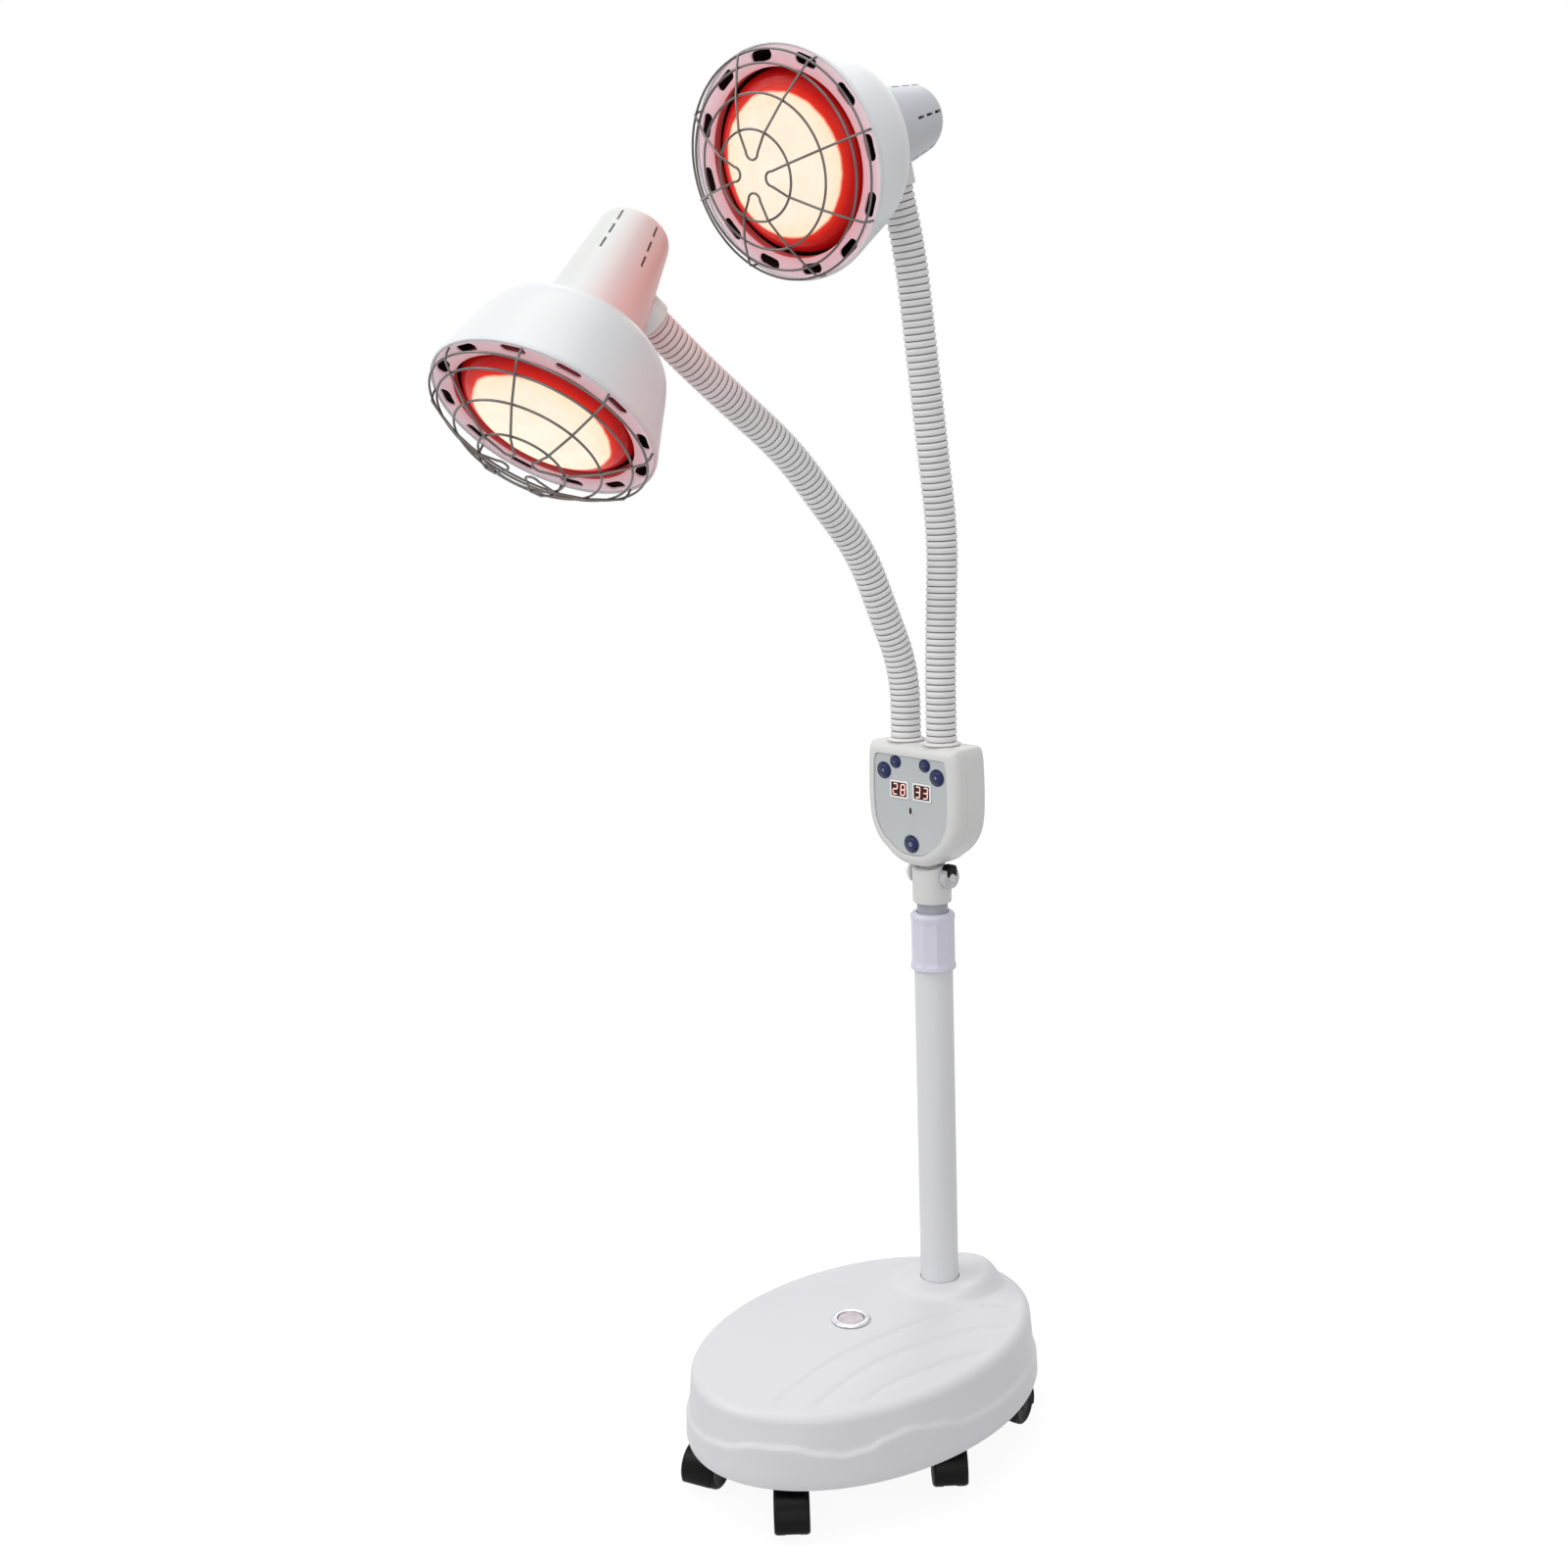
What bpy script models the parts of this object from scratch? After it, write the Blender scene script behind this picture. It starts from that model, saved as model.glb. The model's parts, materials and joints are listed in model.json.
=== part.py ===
"""Infrared heat therapy lamp: two bell heads on ribbed goosenecks over a rolling oval base.

Metres, +Z up. The front of the lamp faces -Y. The floor is at Z = 0.
"""
import math

import bmesh
import bpy
from mathutils import Euler, Matrix, Vector

# Clearances
GAP = 0.0003
RUN = 0.0005
CUT = 0.004

# Casters
CASTER_HEIGHT = 0.040
WHEEL_RADIUS = 0.0160
WHEEL_WIDTH = 0.0100
WHEEL_EDGE = 0.0015
AXLE_RADIUS = 0.0025
WEB_THICKNESS = 0.0070
HOOD_WALL = 0.0020
HOOD_DROP = 0.0070
CASTER_TRAIL = 0.0100
STEM_RADIUS = 0.0040
STEM_LENGTH = 0.0110
STEM_BOSS_RADIUS = 0.0070
# Where each stem stands, as shares of the base's half width and half length
CASTER_SHARES = {
    "front_left": (-0.39, -0.77), "front_right": (0.39, -0.77), "side_left": (-0.735, 0.02),
    "side_right": (0.735, 0.02), "rear_left": (-0.53, 0.685), "rear_right": (0.53, 0.685),
}
CASTER_TURNS = {
    "front_left": -160, "front_right": -132, "side_left": 150,
    "side_right": -132, "rear_left": -30, "rear_right": -165,
}

# Base, an oval that is longer front to back than it is wide
BASE_HALF_LENGTH = 0.167
BASE_HALF_WIDTH = 0.119
BASE_DRAFT = 0.006
BASE_SIDE_HEIGHT = 0.0495
BASE_EDGE = 0.009
BASE_CROWN = 0.0135
BASE_WALL = 0.0025
BASE_EDGE_TURNS = (45, 90)
BASE_CROWN_SHARES = (0.60,)
BASE_STEPS = 24
POLE_SETBACK = 0.091
POLE_BOSS_TOP_RADIUS = 0.030
POLE_BOSS_FOOT_RADIUS = 0.042
POLE_BOSS_RISE = 0.0065
CAP_REACH = 0.0155
CAP_RADIUS = 0.0108
CAP_RING_RADIUS = 0.0159
CAP_NECK_RADIUS = 0.0138
CAP_RING_RISE = 0.0022
CAP_DEPTH = 0.012
CAP_DOME = 0.0012
PLATE_THICKNESS = 0.003
SOCKET_HEIGHT = 0.013
SOCKET_WALL = 0.0045
POLE_SOCKET_WALL = 0.005
POLE_SOCKET_HEIGHT = 0.030
WEIGHT_RADIUS = 0.076
WEIGHT_THICKNESS = 0.030

# Pole
TUBE_RADIUS = 0.016
TUBE_WALL = 0.0015
TUBE_TOP = 0.388
MAST_RADIUS = 0.01275
MAST_WALL = 0.0012
MAST_DEPTH = 0.300
COLLAR_RADIUS = 0.0188
COLLAR_HEIGHT = 0.048
COLLAR_LAP = 0.002
COLLAR_CHAMFER = 0.0030
COLLAR_LIP = 0.003
COLLAR_STEPS = 16
BUSH_WALL = 0.0022
BUSH_FLANGE = 0.002
BUSH_DEPTH = 0.045
BUSH_SLIT = 0.0015
ROUND_STEPS = 20

# Neck under the control box
NECK_RADIUS = 0.016
NECK_CLEARANCE = 0.0086
NECK_SLOT_WIDTH = 0.0160
TUBE_SEAT = 0.0100
WIRE_RADIUS = 0.0040
TILT_RISE = 0.0225
LUG_RADIUS = 0.0080
BOLT_RADIUS = 0.0035
BOLT_HEAD_RADIUS = 0.0095
BOLT_HEAD_THICKNESS = 0.0055
LEVER_HUB_RADIUS = 0.0090
LEVER_HUB_THICKNESS = 0.0070
LEVER_LENGTH = 0.0105
LEVER_WIDTH = 0.0110
LEVER_TIP_SHARE = 0.8

# Control box, a shield seen from the front
BOX_HALF_WIDTH = 0.0500
BOX_HEIGHT = 0.100
BOX_LIFT = 0.0102
BOX_FRONT = 0.024
BOX_BACK = 0.015
BOX_SEAM = 0.010
BOX_ROUND = 0.008
BOX_WALL = 0.002
SHIELD_SHARES = (
    (0.00, 0.000), (0.30, 0.014), (0.56, 0.090), (0.80, 0.190), (0.95, 0.330),
    (1.00, 0.560), (0.985, 0.880), (0.95, 0.975), (0.86, 1.000),
)
PANEL_BORDER = 0.0015
PANEL_RECESS = 0.0010
PANEL_THICKNESS = 0.0020
PANEL_LIP = 0.0015
PANEL_LIP_THICKNESS = 0.0008
BOARD_DEPTH = 0.0070
BOARD_THICKNESS = 0.0016
BOARD_HALF_WIDTH = 0.034
BOARD_BOTTOM = 0.012
BOARD_TOP = 0.090
KEY_TRAVEL = 0.0005
KEY_PROUD = 0.0012
KEY_FLANGE = 0.0008
KEY_FLANGE_LIP = 0.0009
KEY_STEPS = 8
KEYS = {
    "key_heat_more": (-0.0290, 0.0765, 0.0062, 0.0054),
    "key_heat_less": (-0.0160, 0.0848, 0.0045, 0.0038),
    "key_time_less": (0.0160, 0.0848, 0.0045, 0.0038),
    "key_time_more": (0.0290, 0.0765, 0.0062, 0.0054),
    "key_power": (0.0000, 0.0190, 0.0065, 0.0058),
}
DISPLAY_WIDTH = 0.0200
DISPLAY_HEIGHT = 0.0145
DISPLAY_PLACE = 0.0625
DISPLAY_SPREAD = 0.0125
DISPLAY_PROUD = 0.0004
INDICATOR_WIDTH = 0.0045
INDICATOR_HEIGHT = 0.0070
INDICATOR_PLACE = 0.0465
WINDOW_FLANGE = 0.0008

# Goosenecks
ARM_SPREAD = 0.0195
ARM_SETBACK = 0.0065
FOOT_RING_RADIUS = 0.0155
FOOT_RING_HEIGHT = 0.0024
FOOT_SPIGOT_RADIUS = 0.0097
FOOT_SPIGOT_DEPTH = 0.0060
HOSE_RADIUS = 0.01265
HOSE_VALLEY_RADIUS = 0.0112
HOSE_LENGTH = 0.430
HOSE_RIBS = 32
HOSE_PARTS = ("lower", "mid_lower", "mid_upper", "upper")
HOSE_STRAIGHT = 0.026
BALL_RADIUS = 0.0060
BALL_BORE_RADIUS = 0.0020
BALL_SHARES = ((0.0, 1.0), (0.5, 0.866), (0.78, 0.626))
BEND_REACH = 20
BEND_MARGIN = 1.2
ARM_BENDS = {"left": (25, 18, 11, -3), "right": (-3, 11, 0, 8.5)}
ARM_SIDES = {"left": -1, "right": 1}
HEAD_TURN = {"left": 7, "right": 7.5}
BEND_STEPS = 2
HOSE_BORE_STEPS = 6
LEG_CLEARANCE_TURN = 10

# Heads, measured back from the rim plane along the head's own axis
RIM_RADIUS = 0.080
SHADE_WALL = 0.0016
RIM_BAND = 0.003
BELL_DEPTH = 0.048
BELL_RADIUS = 0.0675
SHOULDER_DEPTH = 0.078
SHOULDER_RADIUS = 0.0375
SHOULDER_SHARES = ((0.33, 0.87), (0.57, 0.68), (0.80, 0.38))
CUP_LENGTH = 0.0885
CUP_FRONT_RADIUS = 0.0362
CUP_MID_SHARE = 0.84
CUP_REAR_RADIUS = 0.0262
CUP_WALL = 0.0018
CUP_ROUND_SHARES = ((0.93, 0.90), (1.0, 0.50))
MOUNT_DEPTH = 0.1187
VENT_LENGTH = 0.0095
VENT_PITCH = 0.0135
VENT_WIDTH = 0.0020
VENT_START = 0.0440
VENT_ROWS = 6
VENT_COUNT = 3
VENT_ROW_TURN = 55
RING_PLATE_INNER = 0.0645
RING_PLATE_DEPTH = 0.0010
RING_PLATE_THICKNESS = 0.0015
SLOT_RADIUS = 0.0720
SLOT_LENGTH = 0.0180
SLOT_WIDTH = 0.0075
SLOT_COUNT = 12
NUT_RADIUS = 0.0150
NUT_LAP = 0.0050
NUT_REACH = 0.0055
SHADE_STEPS = 20
CUP_STEPS = 18

# Heat bulb
BULB_RADIUS = 0.0625
BULB_FACE_SHARES = ((0.42, 0.20), (0.81, 0.78), (0.95, 1.50))
BULB_PROUD = 0.009
BULB_WIDEST = 0.0135
BULB_LENGTH = 0.158
BULB_GLASS = 0.0012
BULB_NECK_RADIUS = 0.0180
BULB_SHOULDER_SHARES = ((0.28, 0.93), (0.52, 0.51), (0.66, 0.19), (1.0, 0.0))
BULB_CAP_RADIUS = 0.0133
BULB_CAP_LENGTH = 0.027
BULB_TIP_RADIUS = 0.0090
BULB_TIP_BORE = 0.0045
BULB_STEPS = 14

# Lamp holder
HOLDER_RADIUS = 0.0180
HOLDER_LIP = 0.0015
HOLDER_LIP_LENGTH = 0.0040
HOLDER_FLOOR = 0.0090
HOLDER_BOSS_RADIUS = 0.0090
HOLDER_STEPS = 12

# Wire guard, heights are ahead of the rim plane
WIRE = 0.0010
WIRE_WELD = 0.0006
GUARD_RING_RADII = (0.0305, 0.052, 0.069, 0.077)
GUARD_RING_HEIGHTS = (0.035, 0.025, 0.0136, 0.0075)
HAIRPINS = 4
HAIRPIN_TURN = 14
HAIRPIN_SPREAD = 22.5
HAIRPIN_HALF_WIDTH = 0.0050
HAIRPIN_TIP_PLACE = 0.0160
HAIRPIN_STEPS = 2

# Ranges of the joints that the shapes make room for
TILT_REACH = 15

def bore(radius, steps):
    """Radius of a faceted hole that clears a round piece of this radius by the gap, flats too."""
    return (radius + GAP) / math.cos(math.pi / steps)


def within(radius, steps):
    """Radius of a round piece that clears the flats of a faceted hole of this radius by the gap."""
    return radius * math.cos(math.pi / steps) - GAP


# Places that follow from the sizes above
HOSE_BORE_RADIUS = bore(BALL_RADIUS, HOSE_BORE_STEPS)
NECK_BOTTOM = TUBE_TOP - COLLAR_LAP + COLLAR_HEIGHT + NECK_CLEARANCE
CASTER_PLACES = {name: (share_x * BASE_HALF_WIDTH, share_y * BASE_HALF_LENGTH)
                 for name, (share_x, share_y) in CASTER_SHARES.items()}
BASE_SHOULDER = CASTER_HEIGHT + BASE_SIDE_HEIGHT + BASE_EDGE
BASE_FLOOR_TOP = CASTER_HEIGHT + GAP + PLATE_THICKNESS
SEGMENT_LENGTH = HOSE_LENGTH / len(HOSE_PARTS)
FOOT_HEIGHT = BOX_HEIGHT + BOX_LIFT + GAP + FOOT_RING_HEIGHT + GAP

MATERIALS = {
    "white_plastic": ((0.72, 0.73, 0.78), 0.38, 0.0),
    "base_plastic": ((0.70, 0.70, 0.74), 0.42, 0.0),
    "black_plastic": ((0.012, 0.012, 0.013), 0.22, 0.0),
    "cast_iron": ((0.09, 0.09, 0.09), 0.65, 0.6),
    "pole_paint": ((0.58, 0.59, 0.66), 0.30, 0.0),
    "collar_plastic": ((0.56, 0.56, 0.66), 0.33, 0.0),
    "steel": ((0.62, 0.62, 0.64), 0.28, 1.0),
    "clear_plastic": ((0.80, 0.68, 0.72), 0.15, 0.0),
    "box_plastic": ((0.56, 0.57, 0.57), 0.40, 0.0),
    "panel_plastic": ((0.46, 0.49, 0.52), 0.36, 0.0),
    "blue_plastic": ((0.010, 0.014, 0.075), 0.30, 0.0),
    "display_plastic": ((0.020, 0.010, 0.012), 0.16, 0.0),
    "board": ((0.02, 0.16, 0.06), 0.55, 0.0),
    "hose_plastic": ((0.74, 0.74, 0.74), 0.45, 0.0),
    "pink_plate": ((0.77, 0.55, 0.61), 0.36, 0.0),
    "guard_wire": ((0.55, 0.55, 0.56), 0.22, 1.0),
    "bulb_glass": ((0.60, 0.02, 0.01), 0.12, 0.0),
    "ceramic": ((0.83, 0.81, 0.76), 0.30, 0.0),
}


# Helpers
def clear_scene():
    for old in list(bpy.data.objects):
        bpy.data.objects.remove(old, do_unlink=True)


def material(name):
    made = bpy.data.materials.get(name)
    if made is None:
        colour, roughness, metallic = MATERIALS[name]
        made = bpy.data.materials.new(name)
        made.use_nodes = True
        shader = made.node_tree.nodes["Principled BSDF"]
        shader.inputs["Base Color"].default_value = (*colour, 1.0)
        shader.inputs["Roughness"].default_value = roughness
        shader.inputs["Metallic"].default_value = metallic
    return made


def empty(name, parent=None, place=(0, 0, 0), turn=(0, 0, 0)):
    """An empty that carries a body. The turn is in degrees about X, Y and Z."""
    made = bpy.data.objects.new(name, None)
    bpy.context.scene.collection.objects.link(made)
    made.parent = parent
    made.location = place
    made.rotation_euler = Euler([math.radians(angle) for angle in turn])
    return made


def add(name, mesh, paint, parent, place=(0, 0, 0), turn=(0, 0, 0)):
    made = bpy.data.objects.new(name, mesh)
    bpy.context.scene.collection.objects.link(made)
    made.parent = parent
    made.location = place
    made.rotation_euler = Euler([math.radians(angle) for angle in turn])
    if paint and not mesh.materials:
        mesh.materials.append(material(paint))
    return made


def shape_by(target, operation, mesh, place=(0, 0, 0), turn=(0, 0, 0)):
    """Cut a mesh from the target or join it on, with a hidden guide in the target's own frame."""
    guide = add(target.name + "_guide", mesh, None, target, place, turn)
    guide.hide_render = True
    guide.display_type = "WIRE"
    step = target.modifiers.new(guide.name, "BOOLEAN")
    step.operation = operation
    step.object = guide
    step.solver = "EXACT"
    return guide


def cut(target, mesh, place=(0, 0, 0), turn=(0, 0, 0)):
    return shape_by(target, "DIFFERENCE", mesh, place, turn)


def join(target, mesh, place=(0, 0, 0), turn=(0, 0, 0)):
    return shape_by(target, "UNION", mesh, place, turn)


def finish(shape, smooth_below=32):
    """Turn a bmesh into a mesh with faces out, smooth where its faces meet at a small angle."""
    bmesh.ops.remove_doubles(shape, verts=shape.verts, dist=1e-6)
    bmesh.ops.recalc_face_normals(shape, faces=shape.faces)
    mesh = bpy.data.meshes.new("shape")
    shape.to_mesh(mesh)
    shape.free()
    mesh.shade_smooth()
    mesh.set_sharp_from_angle(angle=math.radians(smooth_below))
    return mesh


def loft(rows, loop=False):
    """Join rows of points into a skin. A row of one point is a tip, and a loop joins the last row to the first."""
    shape = bmesh.new()
    rows = [[shape.verts.new(point) for point in row] for row in rows]
    pairs = list(zip(rows, rows[1:]))
    if loop:
        pairs.append((rows[-1], rows[0]))
    for low, high in pairs:
        count = max(len(low), len(high))
        for index in range(count):
            after = (index + 1) % count
            if len(low) == 1:
                shape.faces.new((low[0], high[after], high[index]))
            elif len(high) == 1:
                shape.faces.new((low[index], low[after], high[0]))
            else:
                shape.faces.new((low[index], low[after], high[after], high[index]))
    if not loop:
        for row in (rows[0], rows[-1]):
            if len(row) > 1:
                shape.faces.new(row)
    return finish(shape)


def oval_row(half_x, half_y, height, steps, centre_y=0):
    if half_x == 0:
        return [(0, centre_y, height)]
    turns = [2 * math.pi * index / steps for index in range(steps)]
    return [(half_x * math.cos(turn), centre_y + half_y * math.sin(turn), height) for turn in turns]


def turned(profile, steps=ROUND_STEPS, loop=False):
    """A round body about Z from a profile of radius and height."""
    return loft([oval_row(radius, radius, height, steps) for radius, height in profile], loop)


def rod(radius, low, high, steps=ROUND_STEPS):
    return turned([(radius, low), (radius, high)], steps)


def prism(outline, low, high, across="Z"):
    """Extrude an outline. Across Y it is drawn in X and Z, and across X it is drawn in Y and Z."""
    order = {"X": lambda u, v, w: (w, u, v), "Y": lambda u, v, w: (u, w, v), "Z": lambda u, v, w: (u, v, w)}
    place = order[across]
    return loft([[place(u, v, end) for u, v in outline] for end in (low, high)])


def block(size_x, size_y, low, high):
    corners = ((-1, -1), (1, -1), (1, 1), (-1, 1))
    return prism([(size_x * u / 2, size_y * v / 2) for u, v in corners], low, high)


def arc(radius, start, end, steps, centre=(0, 0)):
    turns = [math.radians(start + (end - start) * index / steps) for index in range(steps + 1)]
    return [(centre[0] + radius * math.cos(turn), centre[1] + radius * math.sin(turn)) for turn in turns]


def pipe(points, radii, resolution=0, cyclic=False):
    """A tube along points, with a radius at each, from a bevelled curve with filled ends."""
    curve = bpy.data.curves.new("route", "CURVE")
    curve.dimensions = "3D"
    curve.bevel_depth = max(radii)
    curve.bevel_resolution = resolution
    curve.use_fill_caps = not cyclic
    spline = curve.splines.new("POLY")
    spline.points.add(len(points) - 1)
    spline.use_cyclic_u = cyclic
    for knot, point, radius in zip(spline.points, points, radii):
        knot.co = (*point, 1)
        knot.radius = radius / curve.bevel_depth
    route = bpy.data.objects.new("route", curve)
    shape = bmesh.new()
    shape.from_mesh(route.to_mesh())
    route.to_mesh_clear()
    bpy.data.objects.remove(route)
    return finish(shape, 50)


# Casters
def caster_fork_mesh_parts():
    """The hood over both wheels with its web, seen along the axle, and the cuts that make it hollow."""
    hood = WHEEL_RADIUS + 3 * RUN + HOOD_WALL
    dip = math.degrees(math.asin(HOOD_DROP / hood))
    outline = arc(hood, -dip, 180 + dip, 7, (CASTER_TRAIL, WHEEL_RADIUS))
    half = WEB_THICKNESS / 2 + GAP + WHEEL_WIDTH
    body = prism(outline, -half, half, "X")
    well = [(CASTER_TRAIL + y, WHEEL_RADIUS + z) for y, z in arc(hood - HOOD_WALL, 0, 315, 7)]
    wells = [prism(well, side * WEB_THICKNESS / 2, side * (half + CUT), "X") for side in (-1, 1)]
    return body, wells


def add_casters(frame):
    body, wells = caster_fork_mesh_parts()
    stem_top = CASTER_HEIGHT + STEM_LENGTH
    boss_top = CASTER_HEIGHT - GAP
    boss = turned([(STEM_BOSS_RADIUS, WHEEL_RADIUS + HOOD_WALL), (STEM_BOSS_RADIUS, boss_top),
                   (STEM_RADIUS, boss_top), (STEM_RADIUS, stem_top)], 8)
    hole = rod(AXLE_RADIUS + GAP, -WEB_THICKNESS, WEB_THICKNESS, 8)
    inner = WEB_THICKNESS / 2 + GAP
    outer = inner + WHEEL_WIDTH
    spool = turned([(0, -outer), (WHEEL_RADIUS, WHEEL_EDGE - outer), (WHEEL_RADIUS, -inner),
                    (AXLE_RADIUS, -inner), (AXLE_RADIUS, inner), (WHEEL_RADIUS, inner),
                    (WHEEL_RADIUS, outer - WHEEL_EDGE), (0, outer)], 10)
    for place, (x, y) in CASTER_PLACES.items():
        swivel = empty("swivel_" + place, frame, (x, y - POLE_SETBACK, 0), (0, 0, CASTER_TURNS[place]))
        fork = add("caster_fork_" + place, body.copy(), "black_plastic", swivel)
        join(fork, boss)
        for well in wells:
            cut(fork, well)
        cut(fork, hole, (0, CASTER_TRAIL, WHEEL_RADIUS), (0, 90, 0))
        roll = empty("roll_" + place, swivel, (0, CASTER_TRAIL, WHEEL_RADIUS), (0, 90, 0))
        add("caster_wheels_" + place, spool, "black_plastic", roll)


# Base
def crown_height(share):
    """Height of the cover's outer face over the floor at a share of the way from its middle to its edge."""
    return BASE_SHOULDER + BASE_CROWN * (1 - share ** 2)


def base_skin(inset, bottom, turns, shares):
    """Rows of the base cover's oval skin, drawn in by a wall, from its bottom edge to its middle."""
    half_x = BASE_HALF_WIDTH - inset
    half_y = BASE_HALF_LENGTH - inset
    side_top = BASE_SHOULDER - BASE_EDGE
    rows = [(0, bottom), (BASE_DRAFT, side_top)]
    for turn in turns:
        angle = math.radians(turn)
        reach = BASE_DRAFT + BASE_EDGE * (1 - math.cos(angle))
        rows.append((reach, side_top + (BASE_EDGE - inset) * math.sin(angle)))
    made = [oval_row(half_x - reach, half_y - reach, height, BASE_STEPS, -POLE_SETBACK) for reach, height in rows]
    edge = BASE_DRAFT + BASE_EDGE
    for share in shares:
        made.append(oval_row((half_x - edge) * share, (half_y - edge) * share, crown_height(share) - inset,
                             BASE_STEPS, -POLE_SETBACK))
    made.append([(0, -POLE_SETBACK, crown_height(0) - inset)])
    return made


def add_base(frame):
    outer = base_skin(0, CASTER_HEIGHT, BASE_EDGE_TURNS, BASE_CROWN_SHARES)
    inner = base_skin(BASE_WALL, CASTER_HEIGHT, BASE_EDGE_TURNS[-1:], BASE_CROWN_SHARES[:1])
    cover = add("base_cover", loft(list(reversed(outer)) + inner), "base_plastic", frame)
    pole_share = POLE_SETBACK / (BASE_HALF_LENGTH - BASE_DRAFT - BASE_EDGE)
    boss_top = crown_height(pole_share) + POLE_BOSS_RISE
    boss_low = crown_height(pole_share) - BASE_WALL / 2
    join(cover, turned([(POLE_BOSS_FOOT_RADIUS, boss_low), (POLE_BOSS_TOP_RADIUS, boss_top)]))
    cut(cover, rod(TUBE_RADIUS + 3 * RUN, BASE_FLOOR_TOP, boss_top + CUT))
    cap_share = CAP_REACH / (BASE_HALF_LENGTH - BASE_DRAFT - BASE_EDGE)
    seat = crown_height(cap_share)
    cap_place = (0, -POLE_SETBACK - CAP_REACH, 0)
    cut(cover, rod(CAP_NECK_RADIUS + GAP, seat - CAP_DEPTH, seat + CUT), cap_place)
    add_cap(frame, cap_place, seat)
    add_floor(frame)


def add_cap(frame, place, seat):
    hole = CAP_RADIUS + GAP
    low = seat - CAP_DEPTH
    ring_top = seat + CAP_RING_RISE
    add("cap_ring", turned([(hole, ring_top), (hole, low), (CAP_NECK_RADIUS, low), (CAP_NECK_RADIUS, seat + GAP),
                            (CAP_RING_RADIUS, seat + GAP), (CAP_RING_RADIUS, ring_top - CAP_DOME),
                            (CAP_RING_RADIUS - CAP_DOME, ring_top)], 16, True), "steel", frame, place)
    add("cap", turned([(0, low), (CAP_RADIUS, low), (CAP_RADIUS, ring_top - CAP_DOME),
                       (CAP_RADIUS / 2, ring_top), (0, ring_top)], 16), "clear_plastic", frame, place)


def add_floor(frame):
    inset = BASE_WALL + GAP + BASE_DRAFT * (GAP + PLATE_THICKNESS) / BASE_SIDE_HEIGHT
    rows = [oval_row(BASE_HALF_WIDTH - inset, BASE_HALF_LENGTH - inset, height, BASE_STEPS, -POLE_SETBACK)
            for height in (CASTER_HEIGHT, BASE_FLOOR_TOP)]
    plate = add("base_plate", loft(rows), "base_plastic", frame)
    socket_top = BASE_FLOOR_TOP + SOCKET_HEIGHT
    for x, y in CASTER_PLACES.values():
        place = (x, y - POLE_SETBACK, 0)
        join(plate, rod(STEM_RADIUS + SOCKET_WALL, BASE_FLOOR_TOP - GAP, socket_top, 8), place)
        cut(plate, rod(bore(STEM_RADIUS, 8), CASTER_HEIGHT - CUT, CASTER_HEIGHT + STEM_LENGTH + GAP, 8), place)
    hole = bore(TUBE_RADIUS, ROUND_STEPS)
    outer = hole + POLE_SOCKET_WALL
    join(plate, rod(outer, BASE_FLOOR_TOP - GAP, BASE_FLOOR_TOP + POLE_SOCKET_HEIGHT))
    cut(plate, rod(hole, BASE_FLOOR_TOP, BASE_FLOOR_TOP + POLE_SOCKET_HEIGHT + CUT))
    low = BASE_FLOOR_TOP + GAP
    bevel = BASE_WALL
    add("counterweight", turned([(0, low), (WEIGHT_RADIUS, low), (WEIGHT_RADIUS, low + WEIGHT_THICKNESS - bevel),
                                 (WEIGHT_RADIUS - bevel, low + WEIGHT_THICKNESS), (0, low + WEIGHT_THICKNESS)]),
        "cast_iron", frame, (0, -POLE_SETBACK - CAP_REACH, 0))


# Pole
def tube_body(radius, wall, low, high, steps=ROUND_STEPS):
    return turned([(radius, low), (radius, high), (radius - wall, high), (radius - wall, low)], steps, True)


def add_pole(frame):
    add("outer_tube", tube_body(TUBE_RADIUS, TUBE_WALL, BASE_FLOOR_TOP + GAP, TUBE_TOP), "pole_paint", frame)
    grip = bore(MAST_RADIUS, COLLAR_STEPS)
    inside = within(TUBE_RADIUS - TUBE_WALL, ROUND_STEPS)
    seat = TUBE_TOP + GAP
    collar_low = TUBE_TOP - COLLAR_LAP
    collar_top = collar_low + COLLAR_HEIGHT
    grip_top = collar_top - COLLAR_LIP - GAP
    bush = add("collar_bush", turned([
        (grip, TUBE_TOP - BUSH_DEPTH), (inside, TUBE_TOP - BUSH_DEPTH), (inside, seat), (TUBE_RADIUS, seat),
        (TUBE_RADIUS, seat + BUSH_FLANGE), (grip + BUSH_WALL, seat + BUSH_FLANGE), (grip + BUSH_WALL, grip_top),
        (grip, grip_top)], COLLAR_STEPS, True), "white_plastic", frame)
    cut(bush, block(BUSH_SLIT, 2 * TUBE_RADIUS, seat + BUSH_FLANGE + CUT, grip_top + CUT), (0, TUBE_RADIUS, 0))
    turn = empty("collar_turn", frame, (0, 0, collar_low))
    height = COLLAR_HEIGHT
    lap_bore = bore(TUBE_RADIUS, COLLAR_STEPS)
    lap_top = COLLAR_LAP + 2 * GAP + BUSH_FLANGE
    grip_bore = bore(grip + BUSH_WALL, COLLAR_STEPS)
    lip_bore = grip + RUN
    lip_low = height - COLLAR_LIP
    add("lock_collar", turned([
        (COLLAR_RADIUS, 0), (COLLAR_RADIUS, height - COLLAR_CHAMFER), (COLLAR_RADIUS - COLLAR_CHAMFER, height),
        (lip_bore, height), (lip_bore, lip_low), (grip_bore, lip_low), (grip_bore, lap_top + GAP),
        (lap_bore, lap_top + GAP), (lap_bore, 0)], COLLAR_STEPS, True), "collar_plastic", turn)


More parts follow.
